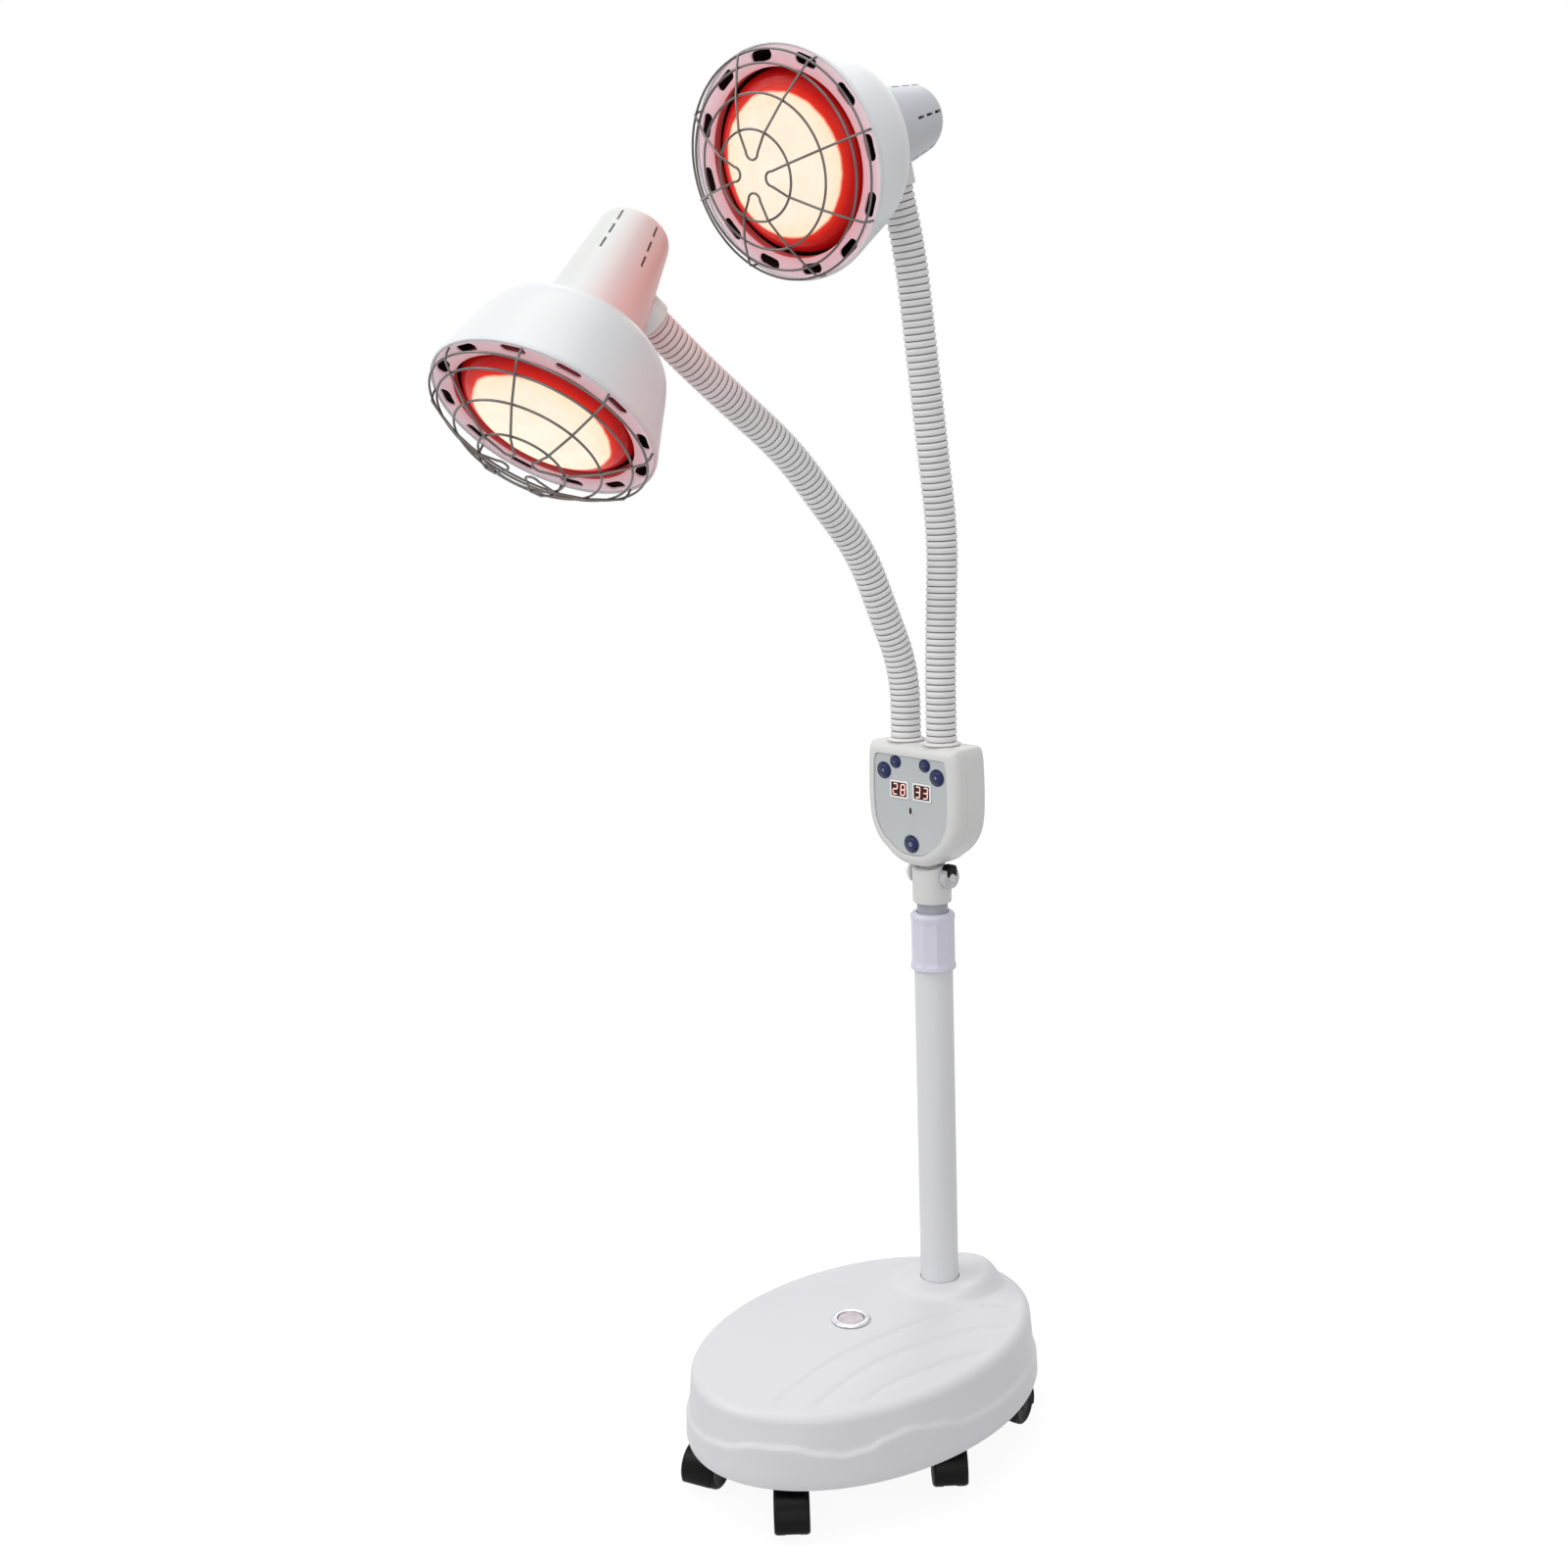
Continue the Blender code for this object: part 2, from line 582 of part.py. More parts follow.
def add_mast(frame):
    """The inner tube and the neck that it carries, on the sliding empty."""
    slide = empty("mast_slide", frame, (0, 0, NECK_BOTTOM))
    add("inner_tube", tube_body(MAST_RADIUS, MAST_WALL, TUBE_SEAT - MAST_DEPTH, TUBE_SEAT - GAP), "pole_paint", slide)
    crest = TILT_RISE + BOX_LIFT - RUN
    lean = math.radians(TILT_REACH)
    wide = NECK_RADIUS + CUT
    eave = TILT_RISE + (BOX_LIFT - wide * math.sin(lean)) / math.cos(lean) - RUN
    neck = add("neck_bracket", rod(NECK_RADIUS, 0, crest, 16), "box_plastic", slide)
    cut(neck, prism([(-wide, eave), (0, crest), (wide, eave), (wide, crest + CUT), (-wide, crest + CUT)],
                    -wide, wide, "X"))
    cut(neck, rod(bore(MAST_RADIUS, ROUND_STEPS), -CUT, TUBE_SEAT))
    floor = TILT_RISE - LUG_RADIUS - 2 * RUN
    swing = LUG_RADIUS + (crest - TILT_RISE) * math.sin(lean) + RUN
    cut(neck, block(NECK_SLOT_WIDTH + 2 * GAP, 2 * swing, floor, crest + CUT))
    cut(neck, rod(WIRE_RADIUS, TUBE_SEAT - CUT, floor + CUT, 10))
    cut(neck, rod(BOLT_RADIUS + GAP, -NECK_RADIUS - CUT, NECK_RADIUS + CUT, 12), (0, 0, TILT_RISE), (0, 90, 0))
    head_in = NECK_RADIUS + GAP
    bolt_end = head_in + LEVER_HUB_THICKNESS
    bevel = BOLT_HEAD_THICKNESS / 4
    add("pivot_bolt", turned([
        (0, -head_in - BOLT_HEAD_THICKNESS), (BOLT_HEAD_RADIUS - bevel, -head_in - BOLT_HEAD_THICKNESS),
        (BOLT_HEAD_RADIUS, bevel - head_in - BOLT_HEAD_THICKNESS), (BOLT_HEAD_RADIUS, -head_in),
        (BOLT_RADIUS, -head_in), (BOLT_RADIUS, bolt_end), (0, bolt_end)], 16),
        "panel_plastic", slide, (0, 0, TILT_RISE), (0, 90, 0))
    add_lever(slide)
    return slide


def add_lever(slide):
    """A nut with a short lever, whose finger end stands up beside the box."""
    turn = empty("lever_turn", slide, (NECK_RADIUS + GAP, 0, TILT_RISE))
    thick = LEVER_HUB_THICKNESS
    lever = add("tilt_lever", prism(arc(LEVER_HUB_RADIUS, 0, 330, 11), 0, thick, "X"), "black_plastic", turn)
    half = LEVER_WIDTH / 2
    paddle = [(-half, 0), (half, 0), (half * LEVER_TIP_SHARE, LEVER_LENGTH), (-half * LEVER_TIP_SHARE, LEVER_LENGTH)]
    join(lever, prism(paddle, thick / 4, thick, "X"))
    cut(lever, rod(BOLT_RADIUS + GAP, -CUT, thick + CUT, 12), (0, 0, 0), (0, 90, 0))


# Control box
def shield(inset, depth):
    """The box's outline at a depth, as a row of points, drawn in from its edge."""
    wide = BOX_HALF_WIDTH - inset
    tall = BOX_HEIGHT - 2 * inset
    right = [(share_x * wide, share_z * tall) for share_x, share_z in SHIELD_SHARES]
    left = [(-x, z) for x, z in reversed(right[1:])]
    return [(x, depth, BOX_LIFT + inset + z) for x, z in right + left]


def box_shell(face, seam, inward):
    """One half of the box: a rounded face, a side up to the seam, and the same again a wall inside."""
    def rows(wall):
        near = face + inward * wall
        made = [shield(BOX_ROUND, near)]
        for turn in (45, 90):
            angle = math.radians(turn)
            reach = (BOX_ROUND - wall) * (1 - math.sin(angle)) + wall
            made.append(shield(reach, near + inward * (BOX_ROUND - wall) * (1 - math.cos(angle))))
        made.append(shield(wall, seam))
        return made
    return loft(rows(0) + list(reversed(rows(BOX_WALL))))


def add_box(slide):
    """The control box on the empty that tilts about the neck's bolt."""
    tilt = empty("box_tilt", slide, (0, 0, TILT_RISE))
    front = add("front_cover", box_shell(-BOX_FRONT, -BOX_SEAM - GAP, 1), "box_plastic", tilt)
    rear = add("rear_cover", box_shell(BOX_BACK, -BOX_SEAM, -1), "box_plastic", tilt)
    panel_inset = BOX_ROUND + PANEL_BORDER
    opening = [(x, z) for x, depth, z in shield(panel_inset, 0)]
    cut(front, prism(opening, -BOX_FRONT - CUT, -BOX_FRONT + CUT, "Y"))
    half = NECK_SLOT_WIDTH / 2 - GAP
    top = BOX_LIFT + BOX_WALL
    lug = arc(LUG_RADIUS, 180, 360, 8) + [(LUG_RADIUS, top), (-LUG_RADIUS, top)]
    join(rear, prism(lug, -half, half, "X"))
    cut(rear, rod(BOLT_RADIUS + GAP, -half - CUT, half + CUT, 12), (0, 0, 0), (0, 90, 0))
    top_low = BOX_LIFT + BOX_HEIGHT - BOX_WALL - CUT
    top_high = BOX_LIFT + BOX_HEIGHT + CUT
    for side in ARM_SIDES.values():
        for cover in (front, rear):
            cut(cover, rod(bore(FOOT_SPIGOT_RADIUS, 12), top_low, top_high, 12), (side * ARM_SPREAD, -ARM_SETBACK, 0))
    add_panel(tilt, panel_inset)
    return tilt


def oval(half_x, half_z):
    return [(half_x * u, half_z * v) for u, v in arc(1, 0, 360 - 360 / KEY_STEPS, KEY_STEPS - 1)]


def oblong(width, height):
    return [(width * u / 2, height * v / 2) for u, v in ((-1, -1), (1, -1), (1, 1), (-1, 1))]


def add_panel(tilt, inset):
    face = -BOX_FRONT + PANEL_RECESS
    back = face + PANEL_THICKNESS
    lip = -BOX_FRONT + BOX_WALL + GAP
    panel = add("key_panel", loft([shield(inset + GAP, face), shield(inset + GAP, lip),
                                   shield(inset - PANEL_LIP, lip), shield(inset - PANEL_LIP, lip + PANEL_LIP_THICKNESS),
                                   shield(inset + GAP, lip + PANEL_LIP_THICKNESS), shield(inset + GAP, back)]),
                "panel_plastic", tilt)
    board = back + BOARD_DEPTH
    windows = {
        "display_left": (-DISPLAY_SPREAD, DISPLAY_PLACE, DISPLAY_WIDTH, DISPLAY_HEIGHT),
        "display_right": (DISPLAY_SPREAD, DISPLAY_PLACE, DISPLAY_WIDTH, DISPLAY_HEIGHT),
        "indicator": (0, INDICATOR_PLACE, INDICATOR_WIDTH, INDICATOR_HEIGHT),
    }
    for name, (x, z, width, height) in windows.items():
        place = (x, 0, BOX_LIFT + z)
        cut(panel, prism(oblong(width + 2 * GAP, height + 2 * GAP), face - CUT, back + CUT, "Y"), place)
        rows = [(0, face - DISPLAY_PROUD), (0, back + GAP), (WINDOW_FLANGE, back + GAP), (WINDOW_FLANGE, board - GAP)]
        add(name, loft([[(u, depth, v) for u, v in oblong(width + 2 * grow, height + 2 * grow)]
                        for grow, depth in rows]), "display_plastic", tilt, place)
    for name, (x, z, half_x, half_z) in KEYS.items():
        place = (x, 0, BOX_LIFT + z)
        cut(panel, prism(oval(half_x + GAP, half_z + GAP), face - CUT, back + CUT, "Y"), place)
        key = empty(name + "_press", tilt, place)
        shelf = back + GAP
        rows = [(-KEY_PROUD / 2, face - KEY_PROUD), (0, face - KEY_PROUD / 2), (0, shelf), (KEY_FLANGE_LIP, shelf),
                (KEY_FLANGE_LIP, shelf + KEY_FLANGE), (-half_z / 3, shelf + KEY_FLANGE),
                (-half_z / 3, board - GAP - KEY_TRAVEL)]
        add(name, loft([[(u, depth, v) for u, v in oval(half_x + grow, half_z + grow)] for grow, depth in rows]),
            "blue_plastic", key)
    outline = [(-BOARD_HALF_WIDTH / 3, BOARD_BOTTOM), (BOARD_HALF_WIDTH / 3, BOARD_BOTTOM),
               (BOARD_HALF_WIDTH, BOX_HEIGHT / 2), (BOARD_HALF_WIDTH, BOARD_TOP),
               (-BOARD_HALF_WIDTH, BOARD_TOP), (-BOARD_HALF_WIDTH, BOX_HEIGHT / 2)]
    add("circuit_board", prism(outline, board, board + BOARD_THICKNESS, "Y"), "board", tilt, (0, 0, BOX_LIFT))


# Goosenecks
def hose_place(distance, bend):
    """Depth, height and lean of the middle line of one hose part, a straight run at each end and an arc between."""
    run = SEGMENT_LENGTH - 2 * HOSE_STRAIGHT
    angle = math.radians(bend)
    share = min(max((distance - HOSE_STRAIGHT) / run, 0), 1)
    lean = angle * share
    radius = run / angle if angle else 0
    y = -radius * (1 - math.cos(lean))
    z = min(distance, HOSE_STRAIGHT) + (radius * math.sin(lean) if angle else run * share)
    past = max(distance - HOSE_STRAIGHT - run, 0)
    return (0, y - past * math.sin(lean), z + past * math.cos(lean)), lean


def hose_part(name, bend, ribs, joined_below, joined_above, parent):
    """One ribbed part. A ball on its top turns in the next part's bore, and its ends slope to let it bend."""
    slope = math.tan(math.radians(BEND_REACH / 2 + BEND_MARGIN))
    pitch = SEGMENT_LENGTH / ribs
    stations = [(pitch * (index + share), radius) for index in range(ribs)
                for share, radius in ((0.25, HOSE_VALLEY_RADIUS), (0.75, HOSE_RADIUS))]
    start = HOSE_RADIUS * slope if joined_below else 0
    stop = SEGMENT_LENGTH - (HOSE_RADIUS * slope if joined_above else 0)
    stations = [(distance, radius) for distance, radius in stations if start < distance < stop]
    low = [(GAP, BALL_BORE_RADIUS), (start, HOSE_RADIUS)] if joined_below else [(0, HOSE_VALLEY_RADIUS)]
    high = [(SEGMENT_LENGTH, HOSE_RADIUS)]
    if joined_above:
        high = [(stop, HOSE_RADIUS), (SEGMENT_LENGTH - BALL_RADIUS * slope, BALL_RADIUS)]
        high += [(SEGMENT_LENGTH + BALL_RADIUS * share, BALL_RADIUS * wide) for share, wide in BALL_SHARES]
    stations = low + stations + high
    hose = add(name, pipe([hose_place(distance, bend)[0] for distance, radius in stations],
                          [radius for distance, radius in stations], 2), "hose_plastic", parent)
    steps = [HOSE_STRAIGHT + (SEGMENT_LENGTH - 2 * HOSE_STRAIGHT) * index / BEND_STEPS
             for index in range(BEND_STEPS + 1)]
    end = SEGMENT_LENGTH + CUT
    way = [(-CUT, HOSE_BORE_RADIUS)] + [(distance, HOSE_BORE_RADIUS) for distance in steps]
    if joined_above:
        shut = SEGMENT_LENGTH - BALL_RADIUS
        way += [(shut - BALL_RADIUS, HOSE_BORE_RADIUS), (shut, BALL_BORE_RADIUS)]
        end = SEGMENT_LENGTH + 2 * BALL_RADIUS
    way.append((end, BALL_BORE_RADIUS if joined_above else HOSE_BORE_RADIUS))
    cut(hose, pipe([hose_place(distance, bend)[0] for distance, radius in way],
                   [radius for distance, radius in way], 1))


def add_arm(tilt, side):
    """One gooseneck on its foot ring, with a joint between each two of its parts. Returns its head's empty."""
    place = (ARM_SIDES[side] * ARM_SPREAD, -ARM_SETBACK, BOX_LIFT + BOX_HEIGHT)
    seat = GAP + FOOT_RING_HEIGHT
    spigot = within(HOSE_BORE_RADIUS, HOSE_BORE_STEPS)
    add("foot_ring_" + side, turned([
        (WIRE_RADIUS, -FOOT_SPIGOT_DEPTH), (FOOT_SPIGOT_RADIUS, -FOOT_SPIGOT_DEPTH), (FOOT_SPIGOT_RADIUS, GAP),
        (FOOT_RING_RADIUS, GAP), (FOOT_RING_RADIUS - FOOT_RING_HEIGHT / 3, seat), (spigot, seat),
        (spigot, seat + FOOT_SPIGOT_DEPTH), (WIRE_RADIUS, seat + FOOT_SPIGOT_DEPTH)], 12, True),
        "hose_plastic", tilt, place)
    joint = empty("arm_swing_" + side, tilt, (place[0], place[1], FOOT_HEIGHT))
    ribs = HOSE_RIBS // len(HOSE_PARTS)
    for index, (part, bend) in enumerate(zip(HOSE_PARTS, ARM_BENDS[side])):
        hose_part("hose_" + part + "_" + side, bend, ribs, index > 0, index < len(HOSE_PARTS) - 1, joint)
        end, lean = hose_place(SEGMENT_LENGTH, bend)
        joint = empty("after_" + part + "_" + side, joint, end, (math.degrees(lean), 0, 0))
    return joint


# Heads
def shade_profile(wall):
    """The bell's profile from its rim to its back, drawn in by a wall."""
    fall = BELL_RADIUS - SHOULDER_RADIUS
    depth = SHOULDER_DEPTH - BELL_DEPTH
    points = [(RIM_RADIUS - wall, 0), (RIM_RADIUS - wall, RIM_BAND), (BELL_RADIUS - wall, BELL_DEPTH)]
    points += [(SHOULDER_RADIUS - wall + fall * high, BELL_DEPTH + (depth - wall) * deep)
               for deep, high in SHOULDER_SHARES]
    points.append((SHOULDER_RADIUS - wall, SHOULDER_DEPTH))
    return points


def cup_radius(depth):
    """Outer radius of the lamp neck at a depth behind the rim, on its straight flank."""
    share = (depth - SHOULDER_DEPTH) / (CUP_LENGTH * CUP_MID_SHARE)
    return CUP_FRONT_RADIUS + (CUP_REAR_RADIUS - CUP_FRONT_RADIUS) * share


def cup_profile(wall):
    length = CUP_LENGTH - wall
    points = [(CUP_FRONT_RADIUS - wall, 0), (CUP_REAR_RADIUS - wall, CUP_LENGTH * CUP_MID_SHARE)]
    points += [((CUP_REAR_RADIUS - wall) * wide, length * deep) for deep, wide in CUP_ROUND_SHARES]
    points.append((0, length))
    return [(radius, SHOULDER_DEPTH + GAP + depth) for radius, depth in points]


def add_head(joint, side):
    """A head on the hose's end. The head's own Z runs back from the rim, and the hose comes from its +Y side."""
    turn = empty("head_turn_" + side, joint, (0, 0, 0), (0, 0, HEAD_TURN[side]))
    mount = cup_radius(MOUNT_DEPTH) + NUT_REACH
    head = empty("head_" + side, turn, (0, -MOUNT_DEPTH, mount), (-90, 0, 0))
    outer = shade_profile(0)
    inner = shade_profile(SHADE_WALL)
    add("shade_" + side, turned(outer + [inner[-1], inner[-2], inner[2], inner[1], inner[0]], SHADE_STEPS, True),
        "white_plastic", head)
    face_turn = VENT_ROW_TURN - 180 / CUP_STEPS
    hollow = [point for index, point in enumerate(cup_profile(CUP_WALL)) if index != 2]
    cup = add("lamp_neck_" + side, turned(list(reversed(cup_profile(0))) + hollow, CUP_STEPS),
              "white_plastic", head, (0, 0, 0), (0, 0, face_turn))
    cut_vents(cup)
    cut(cup, rod(HOSE_BORE_RADIUS, CUP_REAR_RADIUS / 2, 2 * CUP_FRONT_RADIUS, 10), (0, 0, MOUNT_DEPTH),
        (-90, 0, -face_turn))
    add_nut(turn, side, mount)
    add_front_plate(head, side)
    add_bulb(head, side)
    add_holder(head, side)
    add_guard(head, side)


def cut_vents(cup):
    """Rows of short slots round the lamp neck, each in the middle of one of its flats, cut by one guide."""
    shape = bmesh.new()
    for row in range(VENT_ROWS):
        angle = math.radians(180 / CUP_STEPS + 360 * row / VENT_ROWS)
        for index in range(VENT_COUNT):
            middle = SHOULDER_DEPTH + VENT_START + VENT_PITCH * index + VENT_LENGTH / 2
            size = Matrix.Diagonal((CUP_FRONT_RADIUS, VENT_WIDTH, VENT_LENGTH, 1))
            place = Matrix.Translation((CUP_REAR_RADIUS, 0, middle))
            bmesh.ops.create_cube(shape, size=1, matrix=Matrix.Rotation(angle, 4, "Z") @ place @ size)
    cut(cup, finish(shape))


def add_nut(turn, side, mount):
    """The fitting that holds the hose's end in the lamp neck's flank, in the hose's own frame."""
    low = -NUT_LAP
    high = mount - cup_radius(MOUNT_DEPTH) + NUT_LAP
    bevel = NUT_REACH / 4
    hole = bore(HOSE_RADIUS, 12)
    nut = add("head_nut_" + side, turned([
        (hole, low), (NUT_RADIUS - bevel, low), (NUT_RADIUS, low + bevel), (NUT_RADIUS, high),
        (WIRE_RADIUS, high), (WIRE_RADIUS, GAP), (hole, GAP)], 12, True), "hose_plastic", turn)
    ends = (SHOULDER_DEPTH, SHOULDER_DEPTH + CUP_LENGTH)
    cone = turned([(bore(cup_radius(depth), CUP_STEPS), depth) for depth in ends], CUP_STEPS)
    cut(nut, cone, (0, -MOUNT_DEPTH, mount), (-90, 0, 0))


def add_front_plate(head, side):
    outer = within(RIM_RADIUS - SHADE_WALL, SHADE_STEPS)
    low = RING_PLATE_DEPTH
    high = low + RING_PLATE_THICKNESS
    plate = add("front_plate_" + side, turned([
        (outer, low), (outer, high), (RING_PLATE_INNER, high), (RING_PLATE_INNER, low)], 2 * SLOT_COUNT, True),
        "pink_plate", head)
    half = (SLOT_LENGTH - SLOT_WIDTH) / 2
    ends = arc(SLOT_WIDTH / 2, -60, 60, 2, (half, 0)) + arc(SLOT_WIDTH / 2, 120, 240, 2, (-half, 0))
    shape = bmesh.new()
    for index in range(SLOT_COUNT):
        angle = 2 * math.pi * index / SLOT_COUNT
        spin = Matrix.Rotation(angle, 3, "Z")
        rows = [[shape.verts.new(spin @ Vector((x, y + SLOT_RADIUS, z))) for x, y in ends]
                for z in (low - CUT, high + RING_PLATE_THICKNESS)]
        for row in rows:
            shape.faces.new(row)
        for step in range(len(ends)):
            after = (step + 1) % len(ends)
            shape.faces.new((rows[0][step], rows[0][after], rows[1][after], rows[1][step]))
    cut(plate, finish(shape))


def add_bulb(head, side):
    """A reflector bulb: a shallow dome in front, a silvered shoulder and a screw cap, open at the cap's tip."""
    flank = BULB_LENGTH - BULB_PROUD - BULB_CAP_LENGTH - BULB_WIDEST
    fall = BULB_RADIUS - BULB_NECK_RADIUS

    def glass(wall):
        face = -BULB_PROUD + wall
        widest = BULB_RADIUS - wall
        points = [(0, face)]
        points += [(widest * wide, face + BULB_PROUD * deep) for wide, deep in BULB_FACE_SHARES]
        points.append((widest, BULB_WIDEST))
        points += [(BULB_NECK_RADIUS - wall + fall * wide, BULB_WIDEST + flank * deep)
                   for deep, wide in BULB_SHOULDER_SHARES]
        return points
    cap_low = BULB_LENGTH - BULB_PROUD - BULB_CAP_LENGTH
    cap_high = BULB_LENGTH - BULB_PROUD
    bevel = BULB_CAP_RADIUS - BULB_TIP_RADIUS
    inner = glass(BULB_GLASS)
    outside = glass(0) + [(BULB_CAP_RADIUS, cap_low + bevel), (BULB_CAP_RADIUS, cap_high - bevel),
                          (BULB_TIP_RADIUS, cap_high)]
    inside = [(BULB_TIP_BORE, cap_high), (BULB_TIP_BORE, cap_low + bevel), inner[-1], inner[7], inner[6], inner[4], inner[0]]
    add("bulb_" + side, turned(outside + inside, BULB_STEPS), "bulb_glass", head)


def add_holder(head, side):
    """The ceramic holder on the lamp neck's back, with the bulb's cap in its bore."""
    cap_high = BULB_LENGTH - BULB_PROUD
    front = cap_high - BULB_CAP_LENGTH + BULB_CAP_RADIUS - BULB_TIP_RADIUS + GAP
    floor = cap_high + 2 * GAP
    back = floor + HOLDER_FLOOR
    seat = SHOULDER_DEPTH + CUP_LENGTH - CUP_WALL
    socket = bore(BULB_CAP_RADIUS, HOLDER_STEPS)
    lip = HOLDER_RADIUS + HOLDER_LIP
    add("lamp_holder_" + side, turned([
        (0, floor), (socket, floor), (socket, front), (lip, front), (lip, front + HOLDER_LIP_LENGTH),
        (HOLDER_RADIUS, front + HOLDER_LIP_LENGTH), (HOLDER_RADIUS, back), (HOLDER_BOSS_RADIUS, back),
        (HOLDER_BOSS_RADIUS, seat), (0, seat)], HOLDER_STEPS), "ceramic", head)


def hairpin_points():
    """Half of a hairpin in plan, from its foot at the rim plate to its tip, with the height that rides the rings."""
    step = 2 * WIRE - WIRE_WELD
    hook = math.radians(HAIRPIN_SPREAD)
    rim = GUARD_RING_RADII[-1] + WIRE
    foot = Vector((rim * math.cos(hook), rim * math.sin(hook)))
    inner = Vector((HAIRPIN_TIP_PLACE, HAIRPIN_HALF_WIDTH))
    points = [(*foot, RING_PLATE_DEPTH - GAP - WIRE)]
    for radius, height in zip(reversed(GUARD_RING_RADII), reversed(GUARD_RING_HEIGHTS)):
        share = crossing(foot, inner, radius)
        points.append((*foot.lerp(inner, share), -height - step))
    return points


def crossing(start, end, radius):
    """Share of the way from start to end at which the line crosses a circle about the origin."""
    along = end - start
    a = along.dot(along)
    b = start.dot(along)
    c = start.dot(start) - radius ** 2
    return (-b - math.sqrt(max(b * b - a * c, 0))) / a


def ring_points(radius, height, leg_turn):
    """Points round a ring, on both sides of each leg, so that the leg crosses the middle of a straight stretch."""
    pitch = 360 / HAIRPINS
    side = LEG_CLEARANCE_TURN
    turns = [HAIRPIN_TURN + pitch * index + turn for index in range(HAIRPINS)
             for turn in (-leg_turn - side, side - leg_turn, leg_turn - side, leg_turn + side)]
    radius /= math.cos(math.radians(side))
    return [(radius * math.cos(math.radians(turn)), radius * math.sin(math.radians(turn)), height) for turn in turns]


def add_guard(head, side):
    """Four rings that step forward to the middle, and four hairpins that lie on them with feet on the plate."""
    leg = hairpin_points()
    rings = []
    for height, (x, y, top) in zip(reversed(GUARD_RING_HEIGHTS), leg[1:]):
        places = ring_points(math.hypot(x, y), -height, math.degrees(math.atan2(y, x)))
        rings.append(pipe(places, [WIRE] * len(places), 0, True))
    top = leg[-1][2]
    bow = [(HAIRPIN_TIP_PLACE - HAIRPIN_HALF_WIDTH * math.sin(math.pi * index / HAIRPIN_STEPS),
            HAIRPIN_HALF_WIDTH * math.cos(math.pi * index / HAIRPIN_STEPS), top) for index in range(HAIRPIN_STEPS + 1)]
    pin = leg + bow + [(x, -y, z) for x, y, z in reversed(leg)]
    guard = add("guard_" + side, rings[0], "guard_wire", head)
    for index in range(HAIRPINS):
        spin = Matrix.Rotation(math.radians(HAIRPIN_TURN + 360 * index / HAIRPINS), 3, "Z")
        join(guard, pipe([tuple(spin @ Vector(point)) for point in pin], [WIRE] * len(pin), 0))
    for ring in rings[1:]:
        join(guard, ring)


# Assembly
def centre_over_floor(frame):
    """Move the whole lamp so that the middle of its footprint, heads included, lies over the origin."""
    bpy.context.view_layer.update()
    view = bpy.context.evaluated_depsgraph_get()
    low = high = 0
    for piece in bpy.context.scene.objects:
        if piece.type == "MESH" and not piece.hide_render:
            solid = piece.evaluated_get(view)
            reach = [(piece.matrix_world @ vertex.co).y for vertex in solid.data.vertices]
            low = min(low, min(reach))
            high = max(high, max(reach))
    frame.location.y = -(low + high) / 2


def main():
    clear_scene()
    frame = empty("lamp_frame")
    add_casters(frame)
    add_base(frame)
    add_pole(frame)
    slide = add_mast(frame)
    tilt = add_box(slide)
    for side in ARM_SIDES:
        add_head(add_arm(tilt, side), side)
    centre_over_floor(frame)


main()
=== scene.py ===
"""Looks of the infrared heat therapy lamp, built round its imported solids."""

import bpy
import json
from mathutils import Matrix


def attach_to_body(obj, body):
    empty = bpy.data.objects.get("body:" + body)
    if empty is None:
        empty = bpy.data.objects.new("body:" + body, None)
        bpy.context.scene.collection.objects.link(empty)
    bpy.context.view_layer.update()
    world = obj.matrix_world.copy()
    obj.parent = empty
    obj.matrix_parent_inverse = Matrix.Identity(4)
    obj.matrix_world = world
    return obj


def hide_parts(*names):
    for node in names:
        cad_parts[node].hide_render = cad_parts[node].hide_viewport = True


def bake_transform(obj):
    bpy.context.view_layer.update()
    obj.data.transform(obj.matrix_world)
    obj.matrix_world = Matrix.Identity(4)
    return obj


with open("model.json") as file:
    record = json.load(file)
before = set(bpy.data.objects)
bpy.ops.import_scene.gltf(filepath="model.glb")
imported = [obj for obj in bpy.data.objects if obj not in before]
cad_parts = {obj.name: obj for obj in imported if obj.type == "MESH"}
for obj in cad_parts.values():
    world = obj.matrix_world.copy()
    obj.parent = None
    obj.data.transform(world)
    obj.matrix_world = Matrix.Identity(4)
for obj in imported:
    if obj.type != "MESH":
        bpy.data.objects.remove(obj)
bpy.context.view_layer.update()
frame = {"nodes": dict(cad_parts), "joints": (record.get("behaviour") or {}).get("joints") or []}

import json
import math

import bmesh
import bpy
from mathutils import Matrix, Vector

JOINTS = {joint["name"]: joint for joint in frame["joints"]}
POLE = Vector(JOINTS["collar_turn"]["pos_m"])
POLE_Y = POLE.y
BASE_Y = POLE_Y - 0.091
SIDES = ("left", "right")
PLACES = ("front_left", "front_right", "side_left", "side_right", "rear_left", "rear_right")


# Camera
FOCAL_LENGTH, SENSOR_WIDTH, FAR = 42.874, 36, 30
CAMERA_PLACE = (1.0201, POLE_Y - 1.0844, 0.8300)
CAMERA_AXES = ((0.6762, 0.7359, -0.0343), (-0.1166, 0.1528, 0.9814), (0.7274, -0.6596, 0.1891))


def linked(name, data):
    """A new object in the scene."""
    made = bpy.data.objects.new(name, data)
    bpy.context.scene.collection.objects.link(made)
    return made


def make_camera():
    data = bpy.data.cameras.new("camera")
    data.sensor_width = SENSOR_WIDTH
    data.lens = FOCAL_LENGTH
    data.clip_end = FAR
    camera = linked("camera", data)
    camera.matrix_world = Matrix.Translation(CAMERA_PLACE) @ Matrix(CAMERA_AXES).transposed().to_4x4()
    bpy.context.scene.camera = camera


